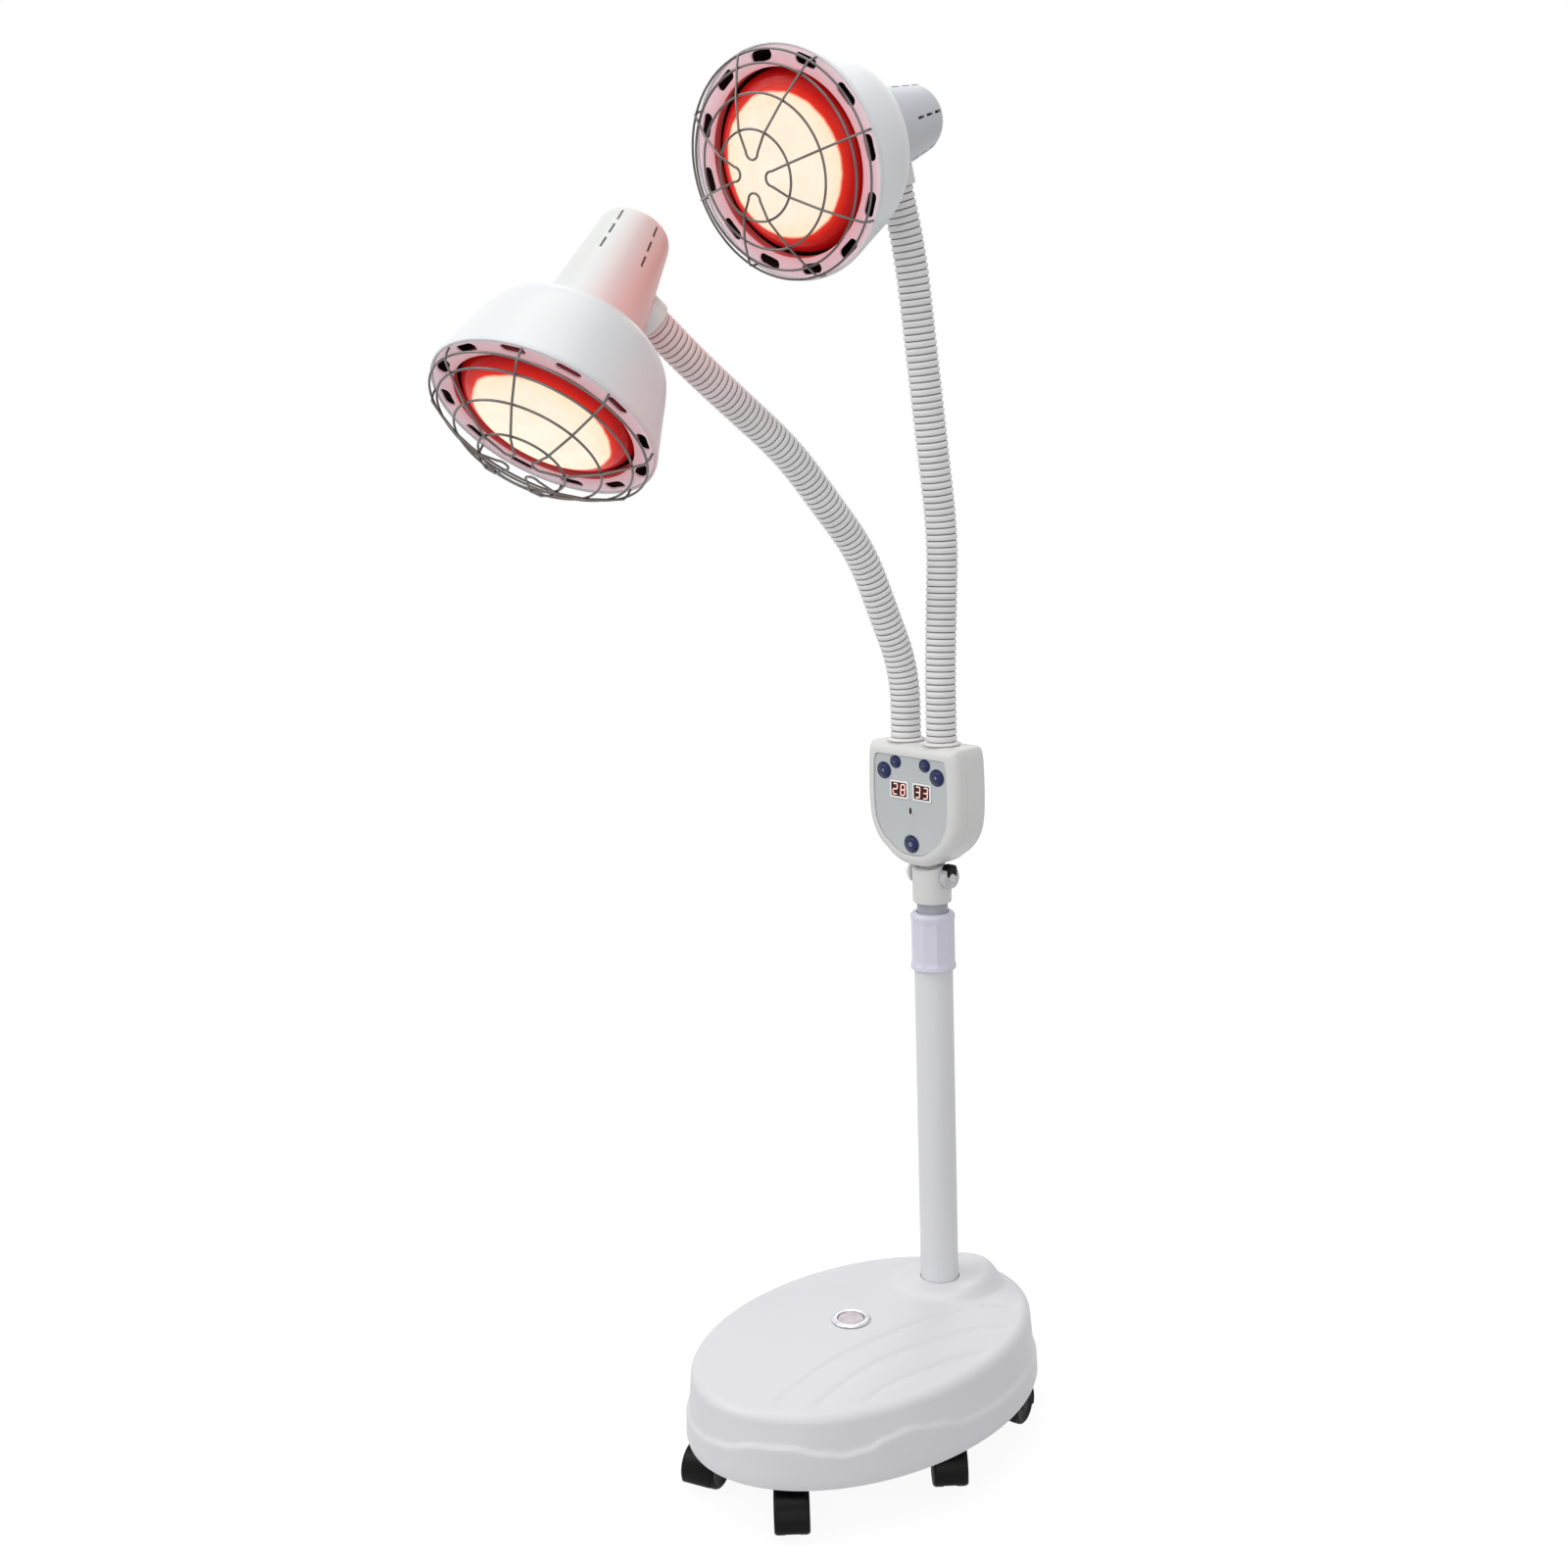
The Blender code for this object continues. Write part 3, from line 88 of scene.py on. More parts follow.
# Materials
BULB_RADIUS = 0.0625
PLATE_INNER, PLATE_OUTER = 0.0640, 0.0790
LIT_DIRECTION = (0.775, 0.63, 0)
NOISE_MIDDLE = (0.3, 0.7)
WHITE = (1, 1, 1)
EVEN = (1, 1, 1)


def new_material(name):
    made = bpy.data.materials.new(name)
    made.use_nodes = True
    return made, made.node_tree, made.node_tree.nodes["Principled BSDF"]


def add_node(tree, kind, values=None, operation=None):
    """A new node with its operation, where it has one, and its input values."""
    made = tree.nodes.new("ShaderNode" + kind)
    if operation:
        made.operation = operation
    for name, value in (values or {}).items():
        made.inputs[name].default_value = value
    return made


def feed(tree, source, target, name):
    tree.links.new(source, target.inputs[name])


def noise(tree, scale, detail=3.0, stretch=EVEN):
    """A noise value over the piece's own frame."""
    where = add_node(tree, "TexCoord")
    mapping = add_node(tree, "Mapping", {"Scale": stretch})
    made = add_node(tree, "TexNoise", {"Scale": scale, "Detail": detail})
    feed(tree, where.outputs["Object"], mapping, "Vector")
    feed(tree, mapping.outputs["Vector"], made, "Vector")
    return made.outputs["Fac"]


def ramp(tree, source, stops):
    """A colour for each value, from stops of a place and a colour."""
    made = add_node(tree, "ValToRGB")
    ramp_stops = made.color_ramp.elements
    while len(ramp_stops) < len(stops):
        ramp_stops.new(0.5)
    for stop, (place, colour) in zip(ramp_stops, stops):
        stop.position = place
        stop.color = (*colour, 1)
    feed(tree, source, made, "Fac")
    return made.outputs["Color"]


def ranged(tree, source, span, low=0.0, high=1.0, smooth=False):
    """Map a span of a value to another range."""
    values = {"From Min": span[0], "From Max": span[1], "To Min": low, "To Max": high}
    made = add_node(tree, "MapRange", values)
    if smooth:
        made.interpolation_type = "SMOOTHSTEP"
    feed(tree, source, made, "Value")
    return made.outputs["Result"]


def plus_noise(tree, base, source, amount):
    made = add_node(tree, "Math", {1: amount}, "MULTIPLY_ADD")
    feed(tree, source, made, 0)
    feed(tree, base, made, 2)
    return made.outputs["Value"]


def multiplied(tree, first, second):
    made = add_node(tree, "Mix")
    made.data_type = "RGBA"
    made.blend_type = "MULTIPLY"
    made.inputs["Factor"].default_value = 1.0
    feed(tree, first, made, "A")
    feed(tree, second, made, "B")
    return made.outputs["Result"]


def bump(tree, shader, layers):
    """Each layer is a height source and the depth it stands for, in metres."""
    before = None
    for height, depth in layers:
        made = add_node(tree, "Bump", {"Distance": depth, "Strength": 1.0})
        feed(tree, height, made, "Height")
        if before:
            feed(tree, before, made, "Normal")
        before = made.outputs["Normal"]
    feed(tree, before, shader, "Normal")


def finish(tree, shader, colour, rough, layers, values=None):
    """Feed a shader's colour, roughness and bump, and set its plain values."""
    feed(tree, colour, shader, "Base Color")
    feed(tree, rough, shader, "Roughness")
    bump(tree, shader, layers)
    for name, value in (values or {}).items():
        shader.inputs[name].default_value = value


def shade_of(colour, amount):
    return tuple(min(max(part * amount, 0), 1) for part in colour)


def grey(level):
    return (level, level, level)


def moulded(name, colour, rough, vary, grain, metallic=0.0, coat=0.0, stretch=EVEN, shine=0.5):
    """Moulded plastic or paint: slow colour drift, a fine grain and uneven gloss."""
    made, tree, shader = new_material(name)
    drift = noise(tree, 9, 4, stretch)
    fine = noise(tree, 900, 2, stretch)
    wave = noise(tree, 60, 3, stretch)
    stops = [(0.25, shade_of(colour, 1 - vary)), (0.5, colour), (0.8, shade_of(colour, 1 + vary))]
    gloss = ranged(tree, wave, NOISE_MIDDLE, rough - 0.03, rough + 0.03)
    finish(tree, shader, ramp(tree, drift, stops), gloss, [(fine, grain), (wave, grain * 0.7)],
           {"Metallic": metallic, "Coat Weight": coat, "Specular IOR Level": shine})
    return made


def lit_side(name, colour, tint, low, high):
    """Enamel that takes a tint of the bulb's glow towards one side of the head."""
    made, tree, shader = new_material(name)
    where = add_node(tree, "TexCoord")
    along = add_node(tree, "VectorMath", {1: LIT_DIRECTION}, "DOT_PRODUCT")
    feed(tree, where.outputs["Object"], along, 0)
    place = ranged(tree, along.outputs["Value"], (low, high), smooth=True)
    patch = noise(tree, 30, 3)
    mixed = plus_noise(tree, place, patch, 0.10)
    half = tuple((a + b) / 2 for a, b in zip(colour, tint))
    finish(tree, shader, ramp(tree, mixed, [(0.05, colour), (0.6, half), (1.0, tint)]),
           ranged(tree, patch, NOISE_MIDDLE, 0.32, 0.37), [(noise(tree, 900, 2), 0.00002)])
    return made


def cloudy(name, colour, core, rough):
    """A tinted clear plastic, its colour drifting between two tones."""
    made, tree, shader = new_material(name)
    fine = noise(tree, 130, 4)
    finish(tree, shader, ramp(tree, fine, [(0.3, core), (0.7, colour)]),
           ranged(tree, fine, NOISE_MIDDLE, rough, rough + 0.1), [(fine, 0.00005)],
           {"Transmission Weight": 0.25, "Coat Weight": 0.4})
    return made


def wire_metal(name, colour, rough):
    made, tree, shader = new_material(name)
    drawn = noise(tree, 500, 3)
    stops = [(0.3, shade_of(colour, 0.72)), (0.7, colour)]
    finish(tree, shader, ramp(tree, noise(tree, 60, 3), stops),
           ranged(tree, drawn, NOISE_MIDDLE, rough - 0.06, rough + 0.1), [(drawn, 0.00002)],
           {"Metallic": 1.0})
    return made


def radial(tree, low, high):
    """Distance from the piece's own Z axis, as 0 to 1 between two radii."""
    where = add_node(tree, "TexCoord")
    flat = add_node(tree, "VectorMath", {1: (1, 1, 0)}, "MULTIPLY")
    size = add_node(tree, "VectorMath", None, "LENGTH")
    feed(tree, where.outputs["Object"], flat, 0)
    feed(tree, flat.outputs["Vector"], size, 0)
    return ranged(tree, size.outputs["Value"], (low, high))


def along_axis(tree, low, high):
    """Place along the piece's own Z axis, as 0 to 1 between two heights."""
    where = add_node(tree, "TexCoord")
    parts = add_node(tree, "SeparateXYZ")
    feed(tree, where.outputs["Object"], parts, "Vector")
    return ranged(tree, parts.outputs["Z"], (low, high))


def glowing_bulb():
    """Red glass, lit from behind: cream in the middle of the face, deep red at its edge."""
    made, tree, shader = new_material("lit_red_glass")
    patch = noise(tree, 45, 3)
    mixed = plus_noise(tree, radial(tree, 0.0, BULB_RADIUS), patch, 0.07)
    glow = ramp(tree, mixed, [
        (0.0, (0.93, 0.95, 0.80)), (0.60, (0.93, 0.94, 0.77)), (0.80, (0.96, 0.88, 0.64)),
        (0.832, (0.80, 0.030, 0.010)), (0.92, (0.50, 0.006, 0.005)), (1.0, (0.22, 0.002, 0.003))])
    power = [(0.0, grey(0.97)), (0.80, grey(0.95)), (0.84, grey(0.75)), (1.0, grey(0.50))]
    mottle = ramp(tree, noise(tree, 70, 2), [(0.35, (1, 0.95, 0.92)), (0.6, WHITE)])
    feed(tree, multiplied(tree, glow, mottle), shader, "Emission Color")
    feed(tree, ramp(tree, mixed, power), shader, "Emission Strength")
    base = ramp(tree, patch, [(0.3, (0.22, 0.003, 0.003)), (0.7, (0.30, 0.006, 0.005))])
    feed(tree, base, shader, "Base Color")
    shader.inputs["Roughness"].default_value = 0.22
    shader.inputs["Specular IOR Level"].default_value = 0.12
    bump(tree, shader, [(patch, 0.0001)])
    return made


# The bulb's silvered back: metallic, with a dim grey as painted shade, so it reads dark through the plate's
# slots.
def silvered():
    made, tree, shader = new_material("silvered_glass_painted_shade")
    patch = noise(tree, 90, 3)
    stops = [(0.3, (0.30, 0.26, 0.25)), (0.7, (0.42, 0.38, 0.36))]
    finish(tree, shader, ramp(tree, patch, stops), ranged(tree, patch, NOISE_MIDDLE, 0.12, 0.22),
           [(patch, 0.00005)], {"Metallic": 0.9})
    return made


def pink_lit_plate():
    """Pale enamel that takes the bulb's glow, warmer towards its inner edge."""
    made, tree, shader = new_material("pink_enamel_painted_glow")
    patch = noise(tree, 40, 3)
    mixed = plus_noise(tree, radial(tree, PLATE_INNER, PLATE_OUTER), patch, 0.22)
    stops = [(0.0, (0.90, 0.36, 0.38)), (0.30, (0.90, 0.52, 0.57)), (0.8, (0.90, 0.62, 0.68)),
             (1.0, (0.92, 0.72, 0.77))]
    colour = ramp(tree, mixed, stops)
    # Painted glow: the plate's own colour also glows a little, and its redder inner edge is the bulb's light.
    feed(tree, colour, shader, "Emission Color")
    finish(tree, shader, colour, ranged(tree, patch, NOISE_MIDDLE, 0.30, 0.42),
           [(noise(tree, 700, 2), 0.00002), (patch, 0.00006)], {"Emission Strength": 0.16})
    return made


def hose_paint(name, low, high, tint):
    """Ribbed hose: a tint grows towards the lit head. On the left hose the tint is the bulb's pink glow,
    painted on; on the right it is a slightly darker grey.
    """
    made, tree, shader = new_material(name)
    patch = noise(tree, 40, 3)
    stops = [(0.0, grey(0.88)), (0.70, (0.90, 0.895, 0.895)), (1.0, tint)]
    colour = ramp(tree, along_axis(tree, low, high), stops)
    drift = ramp(tree, patch, [(0.3, (0.93, 0.93, 0.94)), (0.7, WHITE)])
    finish(tree, shader, multiplied(tree, colour, drift), ranged(tree, patch, NOISE_MIDDLE, 0.36, 0.50),
           [(noise(tree, 800, 2), 0.00003)])
    return made


def lit_digits():
    made, tree, shader = new_material("lit_digits")
    colour = ramp(tree, noise(tree, 600, 2), [(0.3, (1.0, 0.42, 0.36)), (0.7, (1.0, 0.66, 0.60))])
    feed(tree, colour, shader, "Emission Color")
    feed(tree, colour, shader, "Base Color")
    shader.inputs["Emission Strength"].default_value = 0.75
    shader.inputs["Roughness"].default_value = 0.4
    return made


# Each row has a look's key, then its name, colour, roughness, colour drift and grain depth.
MOULDED = (
    ("base", "base_plastic_look", (0.78, 0.775, 0.815), 0.42, 0.015, 0.00002),
    ("floor_plate", "floor_plate_look", (0.60, 0.60, 0.64), 0.5, 0.05, 0.00006),
    ("shade_right", "shade_enamel", (0.80, 0.82, 0.85), 0.34, 0.015, 0.00001),
    # Painted shade: the right head's cup is a darker, bluer grey than the same white moulding on the left.
    ("cup_right", "cup_enamel", (0.56, 0.59, 0.63), 0.36, 0.02, 0.00001),
    ("collar", "collar_plastic_look", (0.74, 0.73, 0.84), 0.36, 0.02, 0.00003),
    ("box", "box_plastic_look", (0.76, 0.76, 0.755), 0.42, 0.02, 0.00003),
    ("panel", "panel_plastic_look", (0.56, 0.59, 0.60), 0.36, 0.03, 0.00003),
    ("mark", "mark_paint_look", (0.55, 0.60, 0.75), 0.45, 0.04, 0.00001),
    ("frame", "window_frame_look", (0.95, 0.95, 0.94), 0.42, 0.03, 0.00002),
    ("board", "board_look", (0.012, 0.14, 0.05), 0.5, 0.2, 0.00008),
    ("bush", "bush_look", (0.72, 0.72, 0.74), 0.45, 0.04, 0.00004),
    ("fitting", "fitting_look", (0.84, 0.82, 0.82), 0.4, 0.03, 0.00003),
)
# The same, with the strength of the shine as the last value.
SHINY = (
    # Painted light: the plate's inner lip is red with the bulb's glow.
    ("lip", "plate_lip_look", (0.80, 0.16, 0.16), 0.4, 0.1, 0.00002, 0.2),
    # Painted shade: near black for the inside of the shade and cup.
    ("inside", "shade_inside_look", (0.030, 0.018, 0.018), 0.55, 0.2, 0.00003, 0.2),
    ("rubber", "black_plastic_look", (0.0040, 0.0040, 0.0045), 0.36, 0.3, 0.00005, 0.12),
    ("tyre", "tyre_look", (0.006, 0.006, 0.007), 0.5, 0.3, 0.00008, 0.12),
    ("key", "key_plastic_look", (0.006, 0.012, 0.075), 0.34, 0.15, 0.00003, 0.35),
    ("glass", "window_look", (0.030, 0.008, 0.008), 0.22, 0.2, 0.00001, 0.2),
    ("print", "key_print_look", (0.012, 0.022, 0.10), 0.4, 0.1, 0.00002, 0.3),
    # Painted shade: dark grey in the hose's valleys between ribs.
    ("groove", "hose_groove_look", (0.22, 0.215, 0.215), 0.5, 0.1, 0.00003, 0.2),
)
DRAWN = (1, 1, 0.15)


def make_materials():
    looks = {key: moulded(*row) for key, *row in MOULDED}
    looks.update({key: moulded(*row, shine=shine) for key, *row, shine in SHINY})
    looks["pole"] = moulded("pole_paint_look", (0.78, 0.785, 0.815), 0.34, 0.02, 0.00002, stretch=DRAWN)
    looks["mast"] = moulded("mast_paint_look", (0.40, 0.40, 0.45), 0.34, 0.02, 0.00002, stretch=DRAWN)
    looks["iron"] = moulded("cast_iron_look", (0.06, 0.06, 0.062), 0.7, 0.3, 0.0004, metallic=0.5)
    looks["ceramic"] = moulded("ceramic_look", (0.80, 0.78, 0.73), 0.3, 0.05, 0.00005, coat=0.3)
    looks["shade_left"] = lit_side("shade_enamel_lit", (0.74, 0.76, 0.775), (0.90, 0.68, 0.70), 0.035, 0.085)
    looks["cup_left"] = lit_side("cup_enamel_lit", (0.70, 0.71, 0.70), (0.96, 0.52, 0.50), -0.008, 0.032)
    looks["chrome"] = wire_metal("chrome_look", (0.80, 0.80, 0.82), 0.14)
    looks["wire"] = wire_metal("wire_look", (0.17, 0.16, 0.155), 0.30)
    looks["cap"] = cloudy("clear_cap_look", (0.86, 0.80, 0.84), (0.76, 0.62, 0.70), 0.14)
    looks["nut"] = cloudy("clear_nut_look", (0.86, 0.86, 0.88), (0.66, 0.66, 0.68), 0.18)
    # Painted glow: the left hose turns pink towards its head.
    looks["hose_left"] = hose_paint("hose_look_left_painted_glow", 0.56, 0.93, (0.92, 0.56, 0.54))
    looks["hose_right"] = hose_paint("hose_look_right", 0.56, 1.02, (0.84, 0.82, 0.82))
    looks["bulb"] = glowing_bulb()
    looks["silver"] = silvered()
    looks["plate"] = pink_lit_plate()
    looks["digits"] = lit_digits()
    return looks


# Mesh helpers
def smooth(mesh, sharp):
    mesh.shade_smooth()
    mesh.set_sharp_from_angle(angle=math.radians(sharp))


def as_object(name, shape, paint, place=None, sharp=35):
    bmesh.ops.remove_doubles(shape, verts=shape.verts, dist=2e-6)
    bmesh.ops.recalc_face_normals(shape, faces=shape.faces)
    mesh = bpy.data.meshes.new(name)
    shape.to_mesh(mesh)
    shape.free()
    smooth(mesh, sharp)
    made = linked(name, mesh)
    mesh.materials.append(LOOK[paint])
    if place is not None:
        made.matrix_world = place
    return made


def turns(count):
    return [2 * math.pi * index / count for index in range(count)]


def cover_rows(shape, rows, loop=False, ends=True):
    """Add faces over rows of points to a shape. A row of one point closes to a tip."""
    rows = [[shape.verts.new(point) for point in row] for row in rows]
    pairs = list(zip(rows, rows[1:])) + ([(rows[-1], rows[0])] if loop else [])
    for low, high in pairs:
        count = max(len(low), len(high))
        for index in range(count):
            after = (index + 1) % count
            if len(low) == 1:
                shape.faces.new((low[0], high[after], high[index]))
            elif len(high) == 1:
                shape.faces.new((low[index], low[after], high[0]))
            else:
                shape.faces.new((low[index], low[after], high[after], high[index]))
    if ends and not loop:
        for row in (rows[0], rows[-1]):
            if len(row) > 1:
                shape.faces.new(row)
    return rows


def skin(rows, loop=False):
    shape = bmesh.new()
    cover_rows(shape, rows, loop)
    return shape


def moved(shape, place):
    """Move a helper shape."""
    bmesh.ops.transform(shape, matrix=place, verts=shape.verts)
    return shape


def circle_row(radius, height, steps, wave=None):
    if radius <= 0:
        return [(0, 0, height)]
    row = []
    for turn in turns(steps):
        reach = radius + (wave(turn, height) if wave else 0)
        row.append((reach * math.cos(turn), reach * math.sin(turn), height))
    return row


def lathe(profile, steps=96, loop=False, wave=None):
    return skin([circle_row(radius, height, steps, wave) for radius, height in profile], loop)


def rounded(profile, radius=0.0006, steps=3, loop=True):
    """Round each corner of a profile by a small arc-like curve."""
    made = []
    count = len(profile)
    for index, corner in enumerate(profile):
        here = Vector(corner)
        if not loop and index in (0, count - 1):
            made.append(tuple(here))
            continue
        before = Vector(profile[index - 1]) - here
        after = Vector(profile[(index + 1) % count]) - here
        reach = min(radius, before.length * 0.45, after.length * 0.45)
        if reach < 1e-6 or here.x <= 1e-6:
            made.append(tuple(here))
            continue
        start = here + before.normalized() * reach
        end = here + after.normalized() * reach
        for step in range(steps + 1):
            share = step / steps
            made.append(tuple(start.lerp(here, share).lerp(here.lerp(end, share), share)))
    return made


def through(points, per=6):
    """A smooth line through points, each a tuple of any length."""
    points = [Vector(point) for point in points]
    ends = [points[0] * 2 - points[1]] + points + [points[-1] * 2 - points[-2]]
    made = []
    for index in range(1, len(ends) - 2):
        a, b, c, d = ends[index - 1:index + 3]
        for step in range(per):
            t = step / per
            made.append(0.5 * (2 * b + (c - a) * t + (2 * a - 5 * b + 4 * c - d) * t * t
                               + (3 * b - a - 3 * c + d) * t ** 3))
    made.append(points[-1])
    return made


def prism(outline, low, high, across="Z"):
    """A solid from an outline, between two places on the axis it runs along."""
    order = {"X": lambda u, v, w: (w, u, v), "Y": lambda u, v, w: (u, w, v), "Z": lambda u, v, w: (u, v, w)}
    return skin([[order[across](u, v, end) for u, v in outline] for end in (low, high)])


def arc(radius, start, end, steps, centre=(0, 0)):
    angles = [math.radians(start + (end - start) * index / steps) for index in range(steps + 1)]
    return [(centre[0] + radius * math.cos(angle), centre[1] + radius * math.sin(angle)) for angle in angles]


def cut_with(target, shapes, operation="DIFFERENCE"):
    """Cut or join helper shapes, given in the target's own frame, and drop them."""
    for shape in shapes:
        helper = as_object("helper", shape, "base", target.matrix_world.copy())
        step = target.modifiers.new("cut", "BOOLEAN")
        step.operation = operation
        step.object = helper
        step.solver = "EXACT"
        bake(target)
        bpy.data.objects.remove(helper, do_unlink=True)
    return target


def bake(target, sharp=35):
    """Turn the modified shape into the object's own mesh."""
    bpy.context.view_layer.update()
    view = bpy.context.evaluated_depsgraph_get()
    mesh = bpy.data.meshes.new_from_object(target.evaluated_get(view))
    target.modifiers.clear()
    target.data = mesh
    smooth(mesh, sharp)
    return target


def soften(target, width, segments=2, angle=32):
    step = target.modifiers.new("soften", "BEVEL")
    step.width = width
    step.segments = segments
    step.limit_method = "ANGLE"
    step.angle_limit = math.radians(angle)
    step.harden_normals = False
    return bake(target, 40)


def tube(name, routes, radius, paint, place, resolution=4):
    """Round wires along routes of points. A route is its points and whether it closes."""
    curve = bpy.data.curves.new(name, "CURVE")
    curve.dimensions = "3D"
    curve.bevel_depth = radius
    curve.bevel_resolution = resolution
    curve.use_fill_caps = True
    for points, closed in routes:
        spline = curve.splines.new("POLY")
        spline.points.add(len(points) - 1)
        spline.use_cyclic_u = closed
        for knot, point in zip(spline.points, points):
            knot.co = (*point, 1)
    holder = linked(name, curve)
    mesh = bpy.data.meshes.new_from_object(holder)
    bpy.data.objects.remove(holder, do_unlink=True)
    made = linked(name, mesh)
    smooth(mesh, 50)
    mesh.materials.clear()
    mesh.materials.append(LOOK[paint])
    made.matrix_world = place
    return made


def attach(piece, body, slot, *nodes):
    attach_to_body(piece, body)
    if nodes:
        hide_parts(*nodes)
    return piece


def at(x, y, z):
    return Matrix.Translation((x, y, z))


def ease(share):
    share = min(max(share, 0), 1)
    return share * share * (3 - 2 * share)


# Base. The ledge is a turn in degrees and a height in mm, and the grooves run in mm from the pole.
HALF_X, HALF_Y = 0.119, 0.167
SIDE_TOP, SHOULDER = 0.0895, 0.0985
DRAFT, EDGE, CROWN = 0.006, 0.009, 0.0135
FOOT, COVER_WALL = 0.040, 0.0025
STEP_DROP, STEP_RISE = 0.0020, 0.0036
LOW_ROWS, STEP_ROWS, HIGH_ROWS, EDGE_ROWS, CROWN_ROWS = 6, 9, 10, 8, 84
OUTER_STEPS, INNER_STEPS = 288, 72
BOSS_REACH, BOSS_FADE = 0.0435, 0.0125
CAP_Y = BASE_Y - 0.0155
LEDGE = (
    (-180, 62.0), (-150, 63.5), (-125, 60.0), (-101, 62.0), (-85, 66.0), (-71, 73.0), (-59, 73.7),
    (-48, 68.3), (-41.6, 65.7), (-35, 67.6), (-29, 73.0), (-22, 76.0), (-12, 71.2), (-2, 63.8), (10, 61.7),
    (27, 61.5),
    (50, 56.5), (75, 60.0), (100, 66.0), (125, 62.0), (150, 57.5), (180, 62.0),
)
GROOVES = (
    ((37.5, -233), (33.0, -193), (31.8, -151), (35.0, -108), (40.1, -64.4), (45.0, -26.5), (57.5, 10.0),
     (73.0, 29.5)),
    ((62.0, -212), (58.8, -182), (56.6, -145), (60.8, -102), (67.5, -61.0), (77.0, -22.0), (93.0, 6.0)),
    ((85.5, -186), (82.0, -156), (86.0, -113), (93.0, -73.1), (104.5, -38.0)),
)


def ledge_height(turn):
    degrees = (math.degrees(turn) + 180) % 360 - 180
    for (low, z_low), (high, z_high) in zip(LEDGE, LEDGE[1:]):
        if low <= degrees <= high:
            return (z_low + (z_high - z_low) * ease((degrees - low) / (high - low))) / 1000
    return 0.062


def groove_lines():
    lines = []
    for groove in GROOVES:
        lines.append([Vector((p.x / 1000, p.y / 1000 + POLE_Y)) for p in through(groove, 10)])
    return lines


def groove_depth(x, y, lines):
    """A soft valley along each line, with the outer side a little lower than the inner side."""
    here = Vector((x, y))
    depth = 0
    for line in lines:
        best, side, share = 1, 0, 0
        for index, (a, b) in enumerate(zip(line, line[1:])):
            along = b - a
            t = min(max((here - a).dot(along) / along.length_squared, 0), 1)
            off = here - (a + along * t)
            if off.length < best:
                best = off.length
                side = 1 if along.x * off.y - along.y * off.x < 0 else -1
                share = (index + t) / (len(line) - 1)
        if best < 0.014:
            fade = ease(share / 0.05) * ease((1 - share) / 0.05)
            depth += fade * (0.0011 * math.exp(-(best / 0.0017) ** 2))
            depth += fade * 0.0006 * math.exp(-(best / 0.006) ** 2) * (1 if side > 0 else 0.35)
    return depth


def crown_height(share):
    return SHOULDER + CROWN * (1 - share ** 2)


def boss_distance(x, y):
    """Distance from the pole, drawn in behind it, so that the boss runs out to the rear edge."""
    return math.hypot(x * 0.98, y - POLE_Y if y < POLE_Y else (y - POLE_Y) * 0.62)


def base_row(steps, reach_x, reach_y, height):
    return [(reach_x * math.cos(turn), BASE_Y + reach_y * math.sin(turn), height) for turn in turns(steps)]


def wall_height(ledge, index):
    """Height of a row of the side wall: below the ledge, over its step, or above it."""
    if index <= LOW_ROWS:
        return FOOT + (ledge - STEP_DROP - FOOT) * index / LOW_ROWS
    past = index - LOW_ROWS
    if past <= STEP_ROWS:
        return ledge - STEP_DROP + (STEP_DROP + STEP_RISE) * past / STEP_ROWS
    return ledge + STEP_RISE + (SIDE_TOP - ledge - STEP_RISE) * (past - STEP_ROWS) / HIGH_ROWS


def wall_inset(ledge, height, index):
    lower = 0.0004 + 0.0006 * ease((height - FOOT) / (ledge - FOOT)) if index else 0.0012
    upper = 0.0031 + (DRAFT - 0.0031) * max(height - ledge, 0) / (SIDE_TOP - ledge)
    return lower + (upper - lower) * ease((height - ledge + STEP_DROP) / (STEP_DROP + STEP_RISE))


def top_height(share, x, y, lines):
    """Height of the cover's top: its crown, less the grooves, with the boss round the pole."""
    edge = DRAFT + EDGE
    boss_top = crown_height(0.091 / (HALF_Y - edge)) + 0.0065
    height = crown_height(share) - groove_depth(x, y, lines) * ease((1 - share) / 0.04)
    lift = ease((BOSS_REACH - boss_distance(x, y)) / BOSS_FADE)
    return height + max(boss_top - height, 0) * lift * ease((1 - share) / 0.05)


def base_outer():
    edge = DRAFT + EDGE
    lines = groove_lines()
    rows = []
    for index in range(LOW_ROWS + STEP_ROWS + HIGH_ROWS + 1):
        row = []
        for turn in turns(OUTER_STEPS):
            ledge = ledge_height(turn)
            height = wall_height(ledge, index)
            inset = wall_inset(ledge, height, index)
            x = (HALF_X - inset) * math.cos(turn)
            row.append((x, BASE_Y + (HALF_Y - inset) * math.sin(turn), height))
        rows.append(row)
    for index in range(1, EDGE_ROWS + 1):
        angle = math.pi / 2 * index / EDGE_ROWS
        reach = DRAFT + EDGE * (1 - math.cos(angle))
        rows.append(base_row(OUTER_STEPS, HALF_X - reach, HALF_Y - reach, SIDE_TOP + EDGE * math.sin(angle)))
    for index in range(1, CROWN_ROWS):
        share = 1 - index / CROWN_ROWS
        flat = base_row(OUTER_STEPS, (HALF_X - edge) * share, (HALF_Y - edge) * share, 0)
        rows.append([(x, y, top_height(share, x, y, lines)) for x, y, _ in flat])
    rows.append([(0, BASE_Y, crown_height(0))])
    return rows


